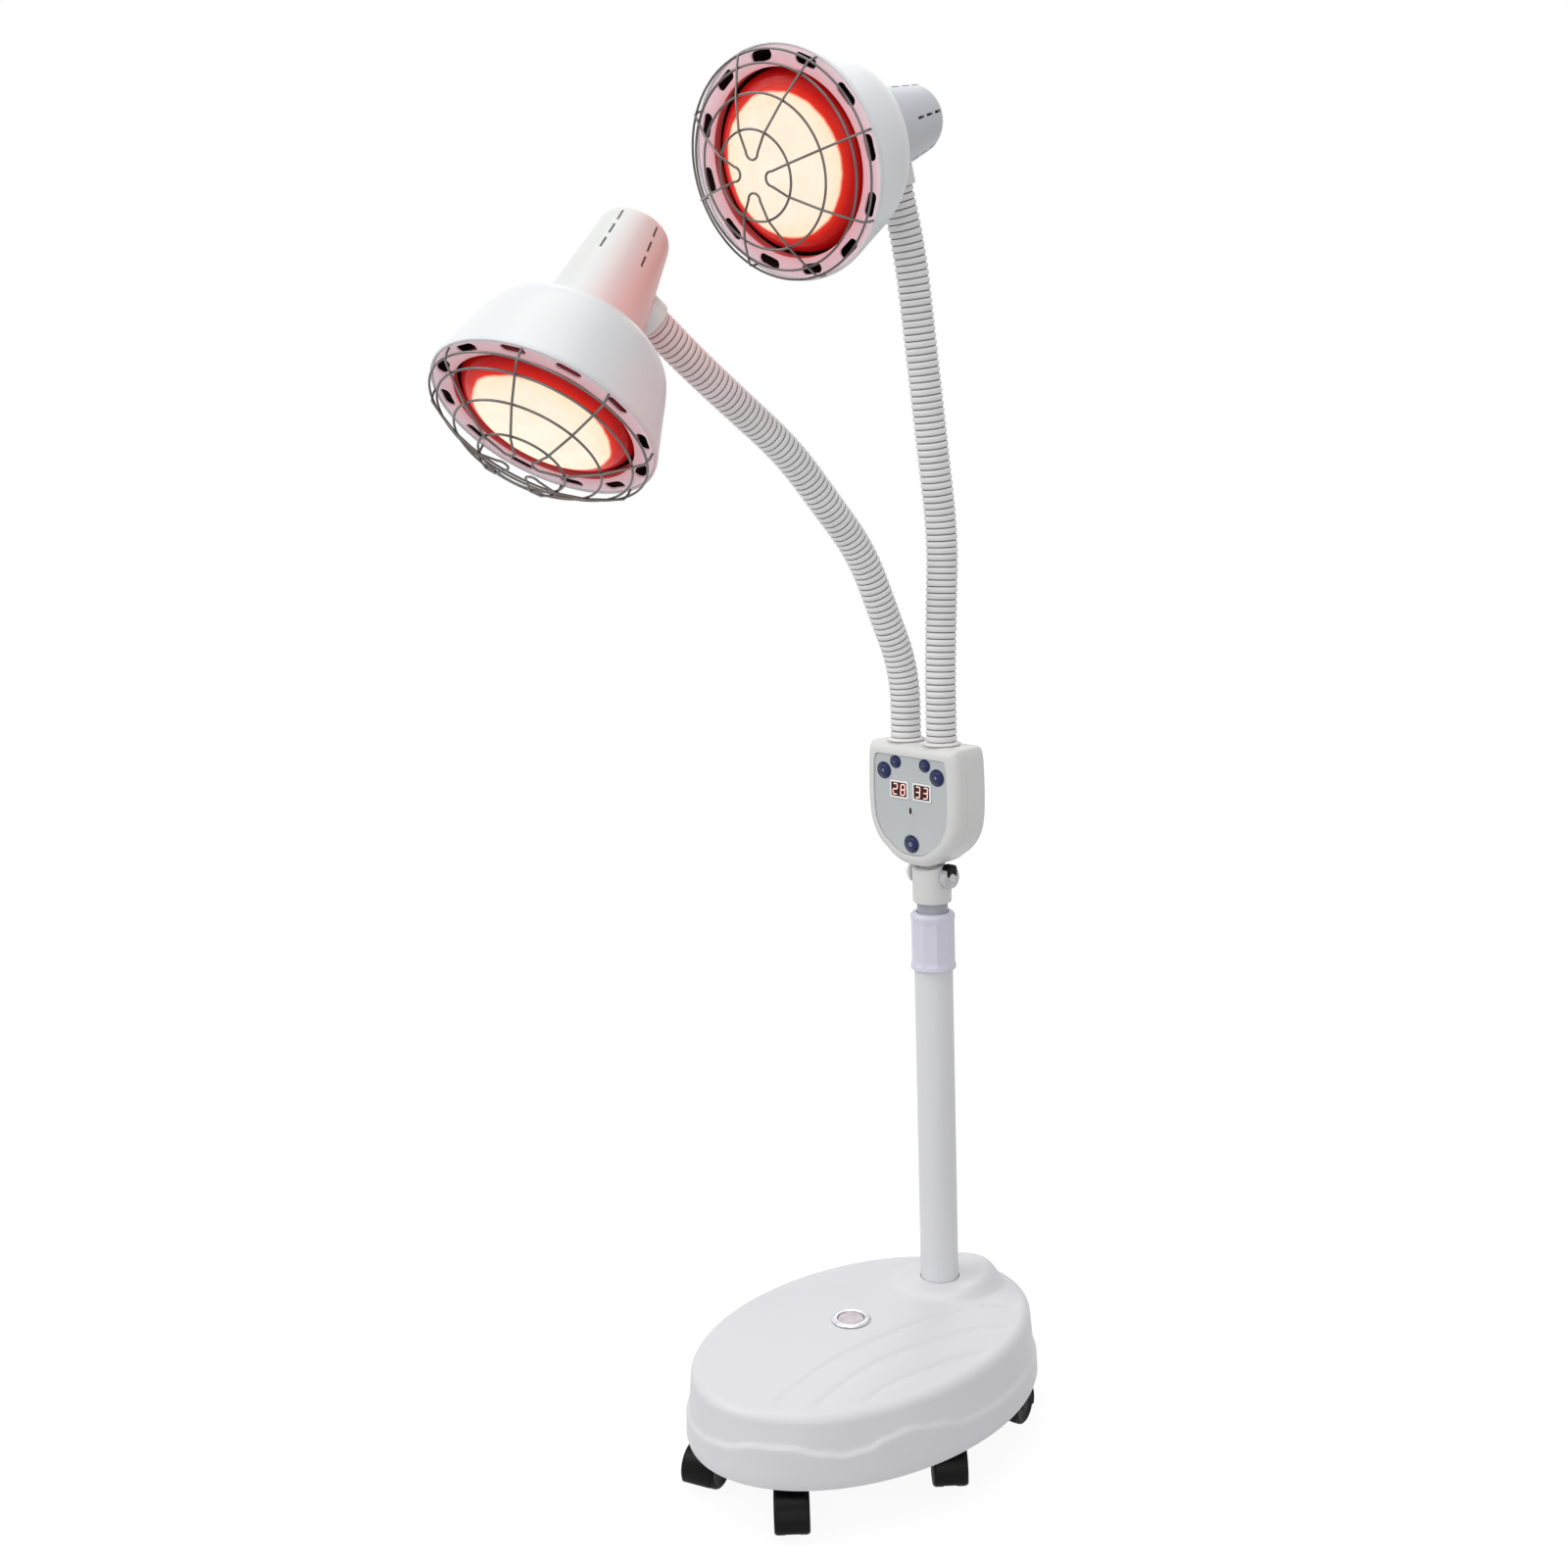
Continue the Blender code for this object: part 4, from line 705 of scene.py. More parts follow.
def base_inner():
    edge = DRAFT + EDGE
    half_x, half_y = HALF_X - COVER_WALL, HALF_Y - COVER_WALL
    under = COVER_WALL + 0.0012
    sides = ((0.0, FOOT), (DRAFT, SIDE_TOP), (DRAFT + EDGE * 0.3, SIDE_TOP + 0.0046),
             (edge, SHOULDER - COVER_WALL))
    rows = [base_row(INNER_STEPS, half_x - inset, half_y - inset, height) for inset, height in sides]
    for share in (0.8, 0.6, 0.4, 0.2):
        height = crown_height(share) - under
        rows.append(base_row(INNER_STEPS, (half_x - edge) * share, (half_y - edge) * share, height))
    rows.append([(0, BASE_Y, crown_height(0) - under)])
    return rows


def bridge_rows(shape, outer, inner):
    """Join two rings of unlike counts, where the outer count is a multiple of the inner one."""
    many = len(outer) // len(inner)
    for index in range(len(inner)):
        after = (index + 1) % len(inner)
        first = index * many
        for step in range(many):
            shape.faces.new((outer[first + step], outer[(first + step + 1) % len(outer)], inner[index]))
        shape.faces.new((outer[(first + many) % len(outer)], inner[after], inner[index]))


def base_shape():
    shape = bmesh.new()
    outer, inner = [cover_rows(shape, rows, ends=False) for rows in (base_outer(), base_inner())]
    bridge_rows(shape, outer[0], inner[0])
    return shape


def make_base():
    cover = as_object("base_shell", base_shape(), "base", sharp=50)
    hole = moved(lathe([(0.0166, 0.06), (0.0166, 0.14)], 64), at(0, POLE_Y, 0))
    seat = crown_height((BASE_Y - CAP_Y) / (HALF_Y - DRAFT - EDGE))
    ledge, top = seat - 0.0008, seat + 0.01
    recess = lathe([(0.0141, seat - 0.013), (0.0141, ledge), (0.0163, ledge), (0.0163, top)], 64)
    cut_with(cover, [hole, moved(recess, at(0, CAP_Y, 0))])
    attach(cover, "root", "base_plastic", "base_cover")
    low = seat - 0.012
    ring = [(0.0111, seat + 0.0020), (0.0111, low), (0.0138, low), (0.0138, seat - 0.0005),
            (0.0159, seat - 0.0005), (0.0159, seat + 0.0012), (0.0140, seat + 0.0022)]
    bezel = as_object("cap_bezel", lathe(rounded(ring, 0.0008, 4), 72, True), "chrome", at(0, CAP_Y, 0))
    attach(bezel, "root", "steel", "cap_ring")
    reach, eave = 0.0104, seat + 0.0010
    dome = [(0, low), (0.0108, low), (0.0108, seat + 0.0004), (reach, eave)]
    for step in range(1, 6):
        angle = math.pi / 2 * step / 6
        dome.append((reach * math.cos(angle), eave + 0.0011 * math.sin(angle)))
    dome.append((0, seat + 0.0021))
    attach(as_object("cap_dome", lathe(dome, 64), "cap", at(0, CAP_Y, 0)), "root", "clear_plastic", "cap")


# Casters
WHEEL_RADIUS, WHEEL_TRAIL = 0.016, 0.010
HOOD_RADIUS, HOOD_WALL = WHEEL_RADIUS + 0.0015 + 0.002, 0.002
WEB_HALF, CASTER_HALF = 0.0035, 0.0138


def hood_shape(dip):
    """A hood over both wheels whose two rims are rounded over."""
    edge, half, hood = 0.0026, CASTER_HALF, HOOD_RADIUS
    ends = [(edge - half - x, hood - edge + y) for x, y in arc(edge, 0, 90, 5)]
    rows = []
    for x, radius in ends + [(-x, radius) for x, radius in reversed(ends)]:
        rows.append([(x, y, z) for y, z in arc(radius, -dip, 180 + dip, 26, (WHEEL_TRAIL, WHEEL_RADIUS))])
    return skin(rows)


def make_casters():
    dip = math.degrees(math.asin(0.007 / HOOD_RADIUS))
    half = CASTER_HALF
    spoke = [(0, -half), (0.0040, -half), (0.0050, 0.0008 - half), (0.0105, 0.0008 - half), (0.0118, -half),
             (0.0142, -half), (0.0155, 0.0010 - half), (WHEEL_RADIUS, 0.0026 - half), (WHEEL_RADIUS, -0.0060),
             (0.0153, -0.0042), (0.0140, -0.0038), (0.0025, -0.0038), (0.0025, 0)]
    profile = spoke + [(radius, -depth) for radius, depth in reversed(spoke[:-1])]
    well = [(WHEEL_TRAIL + y, WHEEL_RADIUS + z) for y, z in arc(HOOD_RADIUS - HOOD_WALL, 0, 345, 23)]
    for place in PLACES:
        swivel = JOINTS["swivel_" + place]
        roll = JOINTS["roll_" + place]
        axle = Vector(roll["axis"])
        centre = Vector(roll["pos_m"])
        stem = Vector(swivel["pos_m"])
        trail = Vector((centre.x - stem.x, centre.y - stem.y, 0))
        facing = math.atan2(trail.y, trail.x) - math.pi / 2
        pose = at(stem.x, stem.y, 0) @ Matrix.Rotation(facing, 4, "Z")
        fork = as_object("caster_hood_" + place, hood_shape(dip), "rubber", pose)
        boss = lathe([(0.0070, 0.020), (0.0070, 0.0395), (0.0040, 0.0397), (0.0040, 0.0508)], 32)
        cut_with(fork, [boss], "UNION")
        cut_with(fork, [prism(well, side * WEB_HALF, side * (half + 0.004), "X") for side in (-1, 1)])
        soften(fork, 0.0004, 2, 50)
        attach(fork, "swivel_" + place, "black_plastic", "caster_fork_" + place)
        facing_axle = at(*centre) @ axle.to_track_quat("Z", "Y").to_matrix().to_4x4()
        spool = as_object("caster_wheel_pair_" + place, lathe(profile, 48), "tyre", facing_axle)
        attach(spool, "wheels_" + place, "black_plastic", "caster_wheels_" + place)


# Pole
COLLAR_RADIUS, COLLAR_FLAT = 0.01865, 0.0171


def tube_piece(name, look, radii, low, high, corner, rounding, steps):
    """A plain tube on the pole's axis with rounded ends."""
    outer, inner = radii
    profile = rounded([(outer, low), (outer, high), (inner, high), (inner, low)], corner, rounding)
    return as_object(name, lathe(profile, steps, True), look, at(0, POLE_Y, 0))


def flats(turn, height):
    """Ten shallow flats round the collar, fading out at its ends."""
    share = ease((height - 0.0036) / 0.0030) * ease((0.0455 - height) / 0.006)
    corner = (turn % (math.pi / 5)) - math.pi / 10
    return min(COLLAR_FLAT / math.cos(corner) - COLLAR_RADIUS, 0) * share


def make_pole():
    attach(tube_piece("pole_tube", "pole", (0.016, 0.0145), 0.0440, 0.388, 0.0007, 3, 96),
           "root", "pole_paint", "outer_tube")
    profile = [(0.0167, 0.0006), (0.0174, 0.0), (0.0184, 0.0002), (0.0188, 0.0008), (0.0188, 0.0024),
               (0.01845, 0.0030)]
    profile += [(COLLAR_RADIUS, 0.0035 + 0.040 * index / 20) for index in range(21)]
    profile += [(0.0185, 0.0450), (0.0178, 0.0464), (0.0166, 0.0476), (0.0154, 0.0480), (0.0136, 0.0480),
                (0.0136, 0.0452), (0.0161, 0.0450), (0.0163, 0.0060), (0.0167, 0.0055)]
    collar = as_object("twist_collar", lathe(profile, 160, True, flats), "collar", at(0, POLE_Y, POLE.z), 40)
    attach(collar, "collar", "collar_plastic", "lock_collar")
    slide = JOINTS["mast_slide"]["pos_m"][2]
    attach(tube_piece("mast_tube", "mast", (0.01275, 0.01155), slide - 0.290, slide + 0.0097, 0.0004, 2, 80),
           "mast", "pole_paint", "inner_tube")


TILT_RISE, LUG_DROP, RUN = 0.0225, 0.0102, 0.0006
NECK_RADIUS, SADDLE_HALF, SADDLE_LEAN = 0.016, 0.020, math.radians(15)
SLOT_X, SLOT_Y = 0.0083, 0.011
PADDLE = ((0.0036, 0.0008), (0.0050, 0.0024), (0.0054, 0.0050), (0.0050, 0.0084), (0.0030, 0.0105),
          (0, 0.0109))
LEVER_CUT = (-0.001, 0.009, "X")


def make_neck():
    """The bracket under the box: a round neck with a saddle top, a capped bolt, a lever and a clear nut."""
    low = JOINTS["mast_slide"]["pos_m"][2]
    crest = TILT_RISE + LUG_DROP - RUN
    place = at(0, POLE_Y, low)
    wide = SADDLE_HALF
    eave = TILT_RISE + (LUG_DROP - wide * math.sin(SADDLE_LEAN)) / math.cos(SADDLE_LEAN) - RUN
    profile = [(0, 0), (0.0155, 0), (0.0159, 0.0003), (NECK_RADIUS, 0.0010), (NECK_RADIUS, crest), (0, crest)]
    body = as_object("neck_body", lathe(profile, 72), "box", place)
    saddle = [(-wide, eave), (-0.006, crest - 0.0012), (0, crest - 0.0004), (0.006, crest - 0.0012),
              (wide, eave), (wide, crest + 0.004), (-wide, crest + 0.004)]
    slot = prism([(-SLOT_X, -SLOT_Y), (SLOT_X, -SLOT_Y), (SLOT_X, SLOT_Y), (-SLOT_X, SLOT_Y)],
                 TILT_RISE - 0.0090, crest + 0.004)
    socket = lathe([(0.0131, -0.004), (0.0131, 0.0100)], 64)
    cut_with(body, [prism(saddle, -wide, wide, "X"), slot, socket])
    soften(body, 0.0004, 2, 40)
    attach(body, "mast", "box_plastic", "neck_bracket")
    sideways = place @ at(0, 0, TILT_RISE) @ Matrix.Rotation(math.pi / 2, 4, "Y")
    bolt = [(0, -0.0218), (0.0050, -0.0217), (0.0078, -0.0208), (0.0092, -0.0190), (0.0095, -0.0172),
            (0.0095, -0.0163), (0.0035, -0.0163), (0.0035, 0.0230), (0.0030, 0.0233), (0, 0.0233)]
    attach(as_object("tilt_bolt", lathe(bolt, 56), "box", sideways), "mast", "panel_plastic", "pivot_bolt")
    pivot = at(0.0163, POLE_Y, low + TILT_RISE)
    paddle = [(p.x, p.y) for p in through(PADDLE + tuple((-x, y) for x, y in reversed(PADDLE[:-1])), 4)]
    lever = as_object("lever_paddle", prism(paddle, 0.0002, 0.0069, "X"), "rubber", pivot)
    cut_with(lever, [prism(arc(0.0040, 0, 350, 35), *LEVER_CUT)])
    soften(lever, 0.0006, 2)
    attach(lever, "lever", "black_plastic", "tilt_lever")
    nut = as_object("lever_nut", prism(arc(0.0088, 0, 354, 59), 0.0002, 0.0060, "X"), "nut", pivot)
    around = [(x * 1.05, y * 1.05 - 0.0003) for x, y in paddle]
    cut_with(nut, [prism(arc(0.0037, 0, 350, 35), *LEVER_CUT), prism(around, *LEVER_CUT)])
    soften(nut, 0.0006, 2)
    attach(nut, "lever", "black_plastic")


# Control box
SHIELD = ((0.00, 0.000), (0.16, 0.004), (0.30, 0.018), (0.44, 0.048), (0.56, 0.090), (0.69, 0.136),
          (0.80, 0.190), (0.885, 0.252), (0.95, 0.330), (0.985, 0.430), (1.00, 0.560), (0.998, 0.720),
          (0.987, 0.860), (0.972, 0.935), (0.945, 0.978), (0.90, 0.996), (0.84, 1.000))
BOX_Z = JOINTS["box_tilt"]["pos_m"][2] + LUG_DROP
BOX_HALF, BOX_TALL, BOX_WALL = 0.050, 0.100, 0.002
SEAM_STEP = 0.0004
ARM_X, ARM_Y = 0.0195, -0.0065
FACE = -0.023
FRONT_CUT = (-0.030, -0.018, "Y")
PIECE_BACK, BEZEL_BACK = -0.0160, -0.0215
# Middle, width and height of each window, and middle and half sizes of each key.
WINDOWS = {
    "display_left": (-0.0125, 0.0625, 0.0200, 0.0145),
    "display_right": (0.0125, 0.0625, 0.0200, 0.0145),
    "indicator": (0.0, 0.0465, 0.0045, 0.0070),
}
KEYS = {
    "key_heat_more": (-0.0290, 0.0765, 0.0062, 0.0054),
    "key_heat_less": (-0.0160, 0.0848, 0.0045, 0.0038),
    "key_time_less": (0.0160, 0.0848, 0.0045, 0.0038),
    "key_time_more": (0.0290, 0.0765, 0.0062, 0.0054),
    "key_power": (0.0, 0.0190, 0.0065, 0.0058),
}
DIGIT_SIZE = (0.0044, 0.0086, 0.0009, 0.0003)
SEGMENTS = {"2": "abged", "3": "abgcd", "8": "abcdefg"}


def shield(inset, depth, per=4):
    wide, tall = BOX_HALF - inset, BOX_TALL - 2 * inset
    right = [(p.x * wide, p.y * tall) for p in through(SHIELD, per)]
    left = [(-x, z) for x, z in reversed(right[1:])]
    return [(x, depth, inset + z) for x, z in right + left]


def shell_rows(face, seam, inward, wall, radius=0.008):
    near = face + inward * wall
    rows = [shield(radius, near)]
    for step in range(1, 9):
        angle = math.pi / 2 * step / 8
        rows.append(shield((radius - wall) * (1 - math.sin(angle)) + wall,
                           near + inward * (radius - wall) * (1 - math.cos(angle))))
    rows.append(shield(wall, seam - inward * SEAM_STEP))
    rows.append(shield(wall if wall else SEAM_STEP, seam))
    return rows


def make_box():
    place = at(0, POLE_Y, BOX_Z)
    for name, face, seam, inward in (("front", -0.024, -0.0103, 1), ("rear", 0.015, -0.0100, -1)):
        outer = shell_rows(face, seam, inward, 0)
        inner = shell_rows(face, seam, inward, BOX_WALL)
        cover = as_object("box_" + name, skin(outer + list(reversed(inner))), "box", place)
        bores = [lathe([(0.0101, 0.09), (0.0101, 0.11)], 40) for side in SIDES]
        holes = [moved(bore, at(x, ARM_Y, 0)) for bore, x in zip(bores, (-ARM_X, ARM_X))]
        if name == "front":
            opening = [(x, z) for x, _, z in shield(0.0095, 0)]
            holes.append(prism(opening, *FRONT_CUT))
        else:
            lug = arc(0.008, 180, 360, 24, (0, -LUG_DROP)) + [(0.008, 0.0015), (-0.008, 0.0015)]
            cut_with(cover, [prism(lug, -0.0077, 0.0077, "X")], "UNION")
            holes.append(prism(arc(0.0038, 0, 350, 35, (0, -LUG_DROP)), -0.012, 0.012, "X"))
        cut_with(cover, holes)
        attach(cover, "box", "box_plastic", name + "_cover")
    make_panel(place)
    make_windows(place)
    make_digits(place)
    make_keys(place)


def seven_segments(number, width, height, stroke, depth):
    """Lit bars of one digit, each a slim six-sided bar, leaning a little as such digits do."""
    w, h, s = width / 2, height / 2, stroke / 2
    tip, flank = s * 0.3, s * 1.2
    ends = {"a": ((-w, h), (w, h)), "g": ((-w, 0), (w, 0)), "d": ((-w, -h), (w, -h)), "f": ((-w, 0), (-w, h)),
            "b": ((w, 0), (w, h)), "e": ((-w, -h), (-w, 0)), "c": ((w, -h), (w, 0))}
    made = bmesh.new()
    for bar in SEGMENTS[number]:
        (x0, z0), (x1, z1) = ends[bar]
        if z0 == z1:
            outline = [(x0 + tip, z0), (x0 + flank, z0 + s), (x1 - flank, z0 + s), (x1 - tip, z0),
                       (x1 - flank, z0 - s), (x0 + flank, z0 - s)]
        else:
            outline = [(x0, z0 + tip), (x0 + s, z0 + flank), (x0 + s, z1 - flank), (x0, z1 - tip),
                       (x0 - s, z1 - flank), (x0 - s, z0 + flank)]
        cover_rows(made, [[(x + 0.08 * z, end, z) for x, z in outline] for end in (0, depth)])
    return made


def oval(half_x, half_z, steps=40):
    return [(half_x * math.cos(turn), half_z * math.sin(turn)) for turn in turns(steps)]


def rounded_box(width, height, radius, steps=4):
    made = []
    for x, z, start in ((1, 1, 0), (-1, 1, 90), (-1, -1, 180), (1, -1, 270)):
        made += arc(radius, start, start + 90, steps, (x * (width / 2 - radius), z * (height / 2 - radius)))
    return made


def make_panel(place):
    rows = [shield(0.0112, FACE + 0.0003), shield(0.0102, FACE), shield(0.0098, FACE + 0.0004),
            shield(0.0098, -0.0219), shield(0.0098, -0.0210)]
    panel = as_object("panel_face", skin(rows), "panel", place)
    holes = []
    for x, z, width, height in WINDOWS.values():
        hole = rounded_box(width + 0.0006, height + 0.0006, 0.0006)
        holes.append(prism([(x + u, z + v) for u, v in hole], *FRONT_CUT))
    for x, z, half_x, half_z in KEYS.values():
        hole = oval(half_x + 0.0003, half_z + 0.0003)
        holes.append(prism([(x + u, z + v) for u, v in hole], *FRONT_CUT))
    cut_with(panel, holes)
    attach(panel, "box", "panel_plastic", "key_panel")


def make_windows(place):
    for name, (x, z, width, height) in WINDOWS.items():
        spot = place @ at(x, 0, z)
        rim = 0.0006 if name == "indicator" else 0.0015
        rows = []
        for inset, depth in ((0, BEZEL_BACK), (0, FACE - 0.0003), (0.0002, FACE - 0.0005),
                             (rim, FACE - 0.0005), (rim, FACE + 0.0002), (rim, BEZEL_BACK)):
            outline = rounded_box(width - 2 * inset, height - 2 * inset, 0.0008)
            rows.append([(u, depth, v) for u, v in outline])
        attach(as_object(name + "_bezel", skin(rows, True), "frame", spot), "box", "display_plastic")
        pane = prism(rounded_box(width - 2 * rim, height - 2 * rim, 0.0006), FACE - 0.0002, PIECE_BACK, "Y")
        attach(as_object(name + "_pane", pane, "glass", spot), "box", "display_plastic", name)


def make_digits(place):
    for name, number in (("left", "28"), ("right", "33")):
        x, z = WINDOWS["display_" + name][:2]
        for index, digit in enumerate(number):
            spot = place @ at(x - 0.0042 + 0.0084 * index, FACE - 0.0004, z)
            shape = seven_segments(digit, *DIGIT_SIZE)
            attach(as_object(f"digit_{name}_{index + 1}", shape, "digits", spot), "box", "display_plastic")
    lamp = prism(rounded_box(0.0008, 0.0008, 0.0002), FACE - 0.0003, FACE - 0.0001, "Y")
    attach(as_object("indicator_point", lamp, "mark", place @ at(0, 0, 0.0482)), "box", "display_plastic")


def key_marks(name):
    """Outlines of a key's sign, in the sign's own units: a minus, a plus or a power sign."""
    if name == "key_power":
        stroke = [(-0.28, 0.3), (0.28, 0.3), (0.28, 2.6), (-0.28, 2.6)]
        return [stroke, arc(2.0, 125, 415, 28) + list(reversed(arc(1.45, 125, 415, 28)))]
    minus = [(-1.5, -0.28), (1.5, -0.28), (1.5, 0.28), (-1.5, 0.28)]
    upright = [(-0.28, -1.5), (0.28, -1.5), (0.28, 1.5), (-0.28, 1.5)]
    return [minus, upright] if name.endswith("more") else [minus]


def make_keys(place):
    for name, (x, z, half_x, half_z) in KEYS.items():
        spot = place @ at(x, 0, z)
        ring = ((0.0004, FACE), (0.0004, FACE - 0.0001), (0.0015, FACE - 0.0001), (0.0015, FACE))
        halo = [[(u, depth, v) for u, v in oval(half_x + grow, half_z + grow)] for grow, depth in ring]
        attach(as_object(name + "_print", skin(halo, True), "print", spot), "box", "panel_plastic")
        rows = [[(0, FACE - 0.0014, 0)]]
        for share, lift in ((0.35, 0.00135), (0.65, 0.00115), (0.85, 0.0008), (0.96, 0.0003), (1.0, -0.0003)):
            rows.append([(u, FACE - lift, v) for u, v in oval(half_x * share, half_z * share)])
        rows.append([(u, PIECE_BACK, v) for u, v in oval(half_x, half_z)])
        attach(as_object(name + "_button", skin(rows), "key", spot), name, "blue_plastic", name)
        size = 0.0008 if half_x > 0.005 else 0.0006
        for index, mark in enumerate(key_marks(name)):
            outline = [(u * size, v * size) for u, v in mark]
            sign = prism(outline, FACE - 0.00155, FACE - 0.0012, "Y")
            attach(as_object(f"{name}_mark_{index + 1}", sign, "mark", spot), name, "blue_plastic")


# Arms
SEGMENT, STRAIGHT = 0.430 / 4, 0.026
BENDS = {"left": (25, 18, 11, -3), "right": (-3, 11, 0, 8.5)}
HEAD_TURN = {"left": 7, "right": 7.5}
HOSE_RIBS = 84
PITCH = 4 * SEGMENT / HOSE_RIBS
RIB_ROWS, HOSE_SPOKES = 12, 40
HOSE_CUTS = (0.0, 1.5 * SEGMENT, 2.5 * SEGMENT, 4 * SEGMENT)
HOSE_NODES = (("hose_lower_", "hose_mid_lower_"), ("hose_mid_upper_",), ("hose_upper_",))
SEAT_RING = ((0.0040, -0.0087), (0.0097, -0.0087), (0.0097, -0.0024), (0.0155, -0.0024), (0.0155, -0.0016),
             (0.0138, -0.0002), (0.0058, -0.0002), (0.0058, 0.0057), (0.0040, 0.0057))


def segment_place(distance, bend):
    run = SEGMENT - 2 * STRAIGHT
    angle = math.radians(bend)
    share = min(max((distance - STRAIGHT) / run, 0), 1)
    lean = angle * share
    radius = run / angle if angle else 0
    y = -radius * (1 - math.cos(lean))
    z = min(distance, STRAIGHT) + (radius * math.sin(lean) if angle else run * share)
    past = max(distance - STRAIGHT - run, 0)
    return at(0, y - past * math.sin(lean), z + past * math.cos(lean)) @ Matrix.Rotation(lean, 4, "X")


def arm_frames(side):
    """The four segments' own frames and the frame at the hose's end."""
    foot = JOINTS["arm_swing_" + side]["pos_m"]
    frames = [at(*foot)]
    for bend in BENDS[side]:
        frames.append(frames[-1] @ segment_place(SEGMENT, bend))
    return frames


def hose_frame(frames, side, distance):
    index = min(int(distance / SEGMENT), 3)
    return frames[index] @ segment_place(distance - index * SEGMENT, BENDS[side][index])


def hose_radius(distance):
    """Close rounded ribs with narrow valleys."""
    share = (distance / PITCH) % 1.0
    return 0.01105 + 0.00155 * abs(math.sin(math.pi * share)) ** 0.62


def half_ring(row):
    """A ring at half the reach round the same middle, which closes a hose's end."""
    middle = sum((Vector(point) for point in row), Vector()) / len(row)
    return [tuple(Vector(point).lerp(middle, 0.5)) for point in row]


def hose_rows(frames, side, low, high, count):
    rows = []
    for step in range(count + 1):
        distance = low + (high - low) * step / count
        here = hose_frame(frames, side, min(distance, 4 * SEGMENT - 1e-6))
        radius = hose_radius(distance)
        rows.append([tuple(here @ Vector(point)) for point in circle_row(radius, 0, HOSE_SPOKES)])
    return rows


def make_arm(side):
    frames = arm_frames(side)
    for index, nodes in enumerate(HOSE_NODES):
        low, high = [round(place / PITCH) * PITCH for place in HOSE_CUTS[index:index + 2]]
        count = round((high - low) / PITCH) * RIB_ROWS
        rows = hose_rows(frames, side, low, high, count)
        shape = skin([half_ring(rows[0])] + rows + [half_ring(rows[-1])])
        shape.faces.ensure_lookup_table()
        # The faces each side of each valley take the painted shade of the groove look.
        for step in range(count):
            if step % RIB_ROWS in (0, RIB_ROWS - 1):
                for spoke in range(HOSE_SPOKES):
                    shape.faces[(step + 1) * HOSE_SPOKES + spoke].material_index = 1
        hose = as_object(f"hose_skin_{index + 1}_{side}", shape, "hose_" + side, sharp=60)
        hose.data.materials.append(LOOK["groove"])
        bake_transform(hose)
        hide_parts(*[node + side for node in nodes])
    seat = as_object("hose_seat_" + side, lathe(rounded(SEAT_RING), 72, True), "fitting", frames[0])
    attach(seat, "box", "hose_plastic", "foot_ring_" + side)
    return frames[-1]


# Heads
SHOULDER_SHARES = ((0.33, 0.87), (0.57, 0.68), (0.80, 0.38))
SHADE_WALL = 0.0016
SHADE_BACK, SHADE_EDGE = 0.0780, 0.0480
CUP_WIDE, CUP_NARROW, CUP_LENGTH = 0.0362, 0.0262, 0.0885 * 0.84
ARM_DEPTH = 0.1187
FITTING = ((0.0132, -0.005), (0.0146, -0.005), (0.0150, -0.0040), (0.0150, 0.0085), (0.0040, 0.0085),
           (0.0040, 0.0004), (0.0132, 0.0004))
BULB_FRONT = ((0, -0.0090), (0.012, -0.0089), (0.0262, -0.0080), (0.040, -0.0054), (0.0506, -0.0020),
              (0.0560, 0.0012), (0.0600, 0.0052), (0.0620, 0.0095), (BULB_RADIUS, 0.0135))
BULB_FLANK = ((BULB_RADIUS, 0.0135), (0.0622, 0.0240), (0.0594, 0.0420), (0.0520, 0.0575), (0.0407, 0.0699),
              (0.0300, 0.0810), (0.0225, 0.0960), (0.0185, 0.1130), (0.0180, 0.1220))
GUARD_RINGS = ((0.0305, 0.035), (0.052, 0.025), (0.069, 0.0136), (0.077, 0.0075))
WIRE_RADIUS, PIN_RISE = 0.00085, 0.0015


def cup_radius(depth):
    return CUP_WIDE + (CUP_NARROW - CUP_WIDE) * (depth - SHADE_BACK) / CUP_LENGTH


def shade_profile():
    """The bell's outline from its rim round the outside, and back along the inside."""
    back = [(0.0700, 0.0390), (0.0675, SHADE_EDGE)]
    back += [(0.0375 + 0.030 * high, SHADE_EDGE + 0.030 * deep) for deep, high in SHOULDER_SHARES]
    back += [(0.0375, SHADE_BACK)]
    curve = [(p.x, p.y) for p in through(back, 6)]
    front = [(0.0784, 0.0004), (0.0788, 0.0), (0.0795, 0.0), (0.0800, 0.0005), (0.0800, 0.0030),
             (0.0797, 0.0037)]
    inner = [(0.0359, SHADE_BACK)]
    inner += [(radius - SHADE_WALL, depth - 0.0003) for radius, depth in reversed(curve[1:])]
    inner += [(0.0782, 0.0036), (0.0784, 0.0030)]
    return front + curve + inner


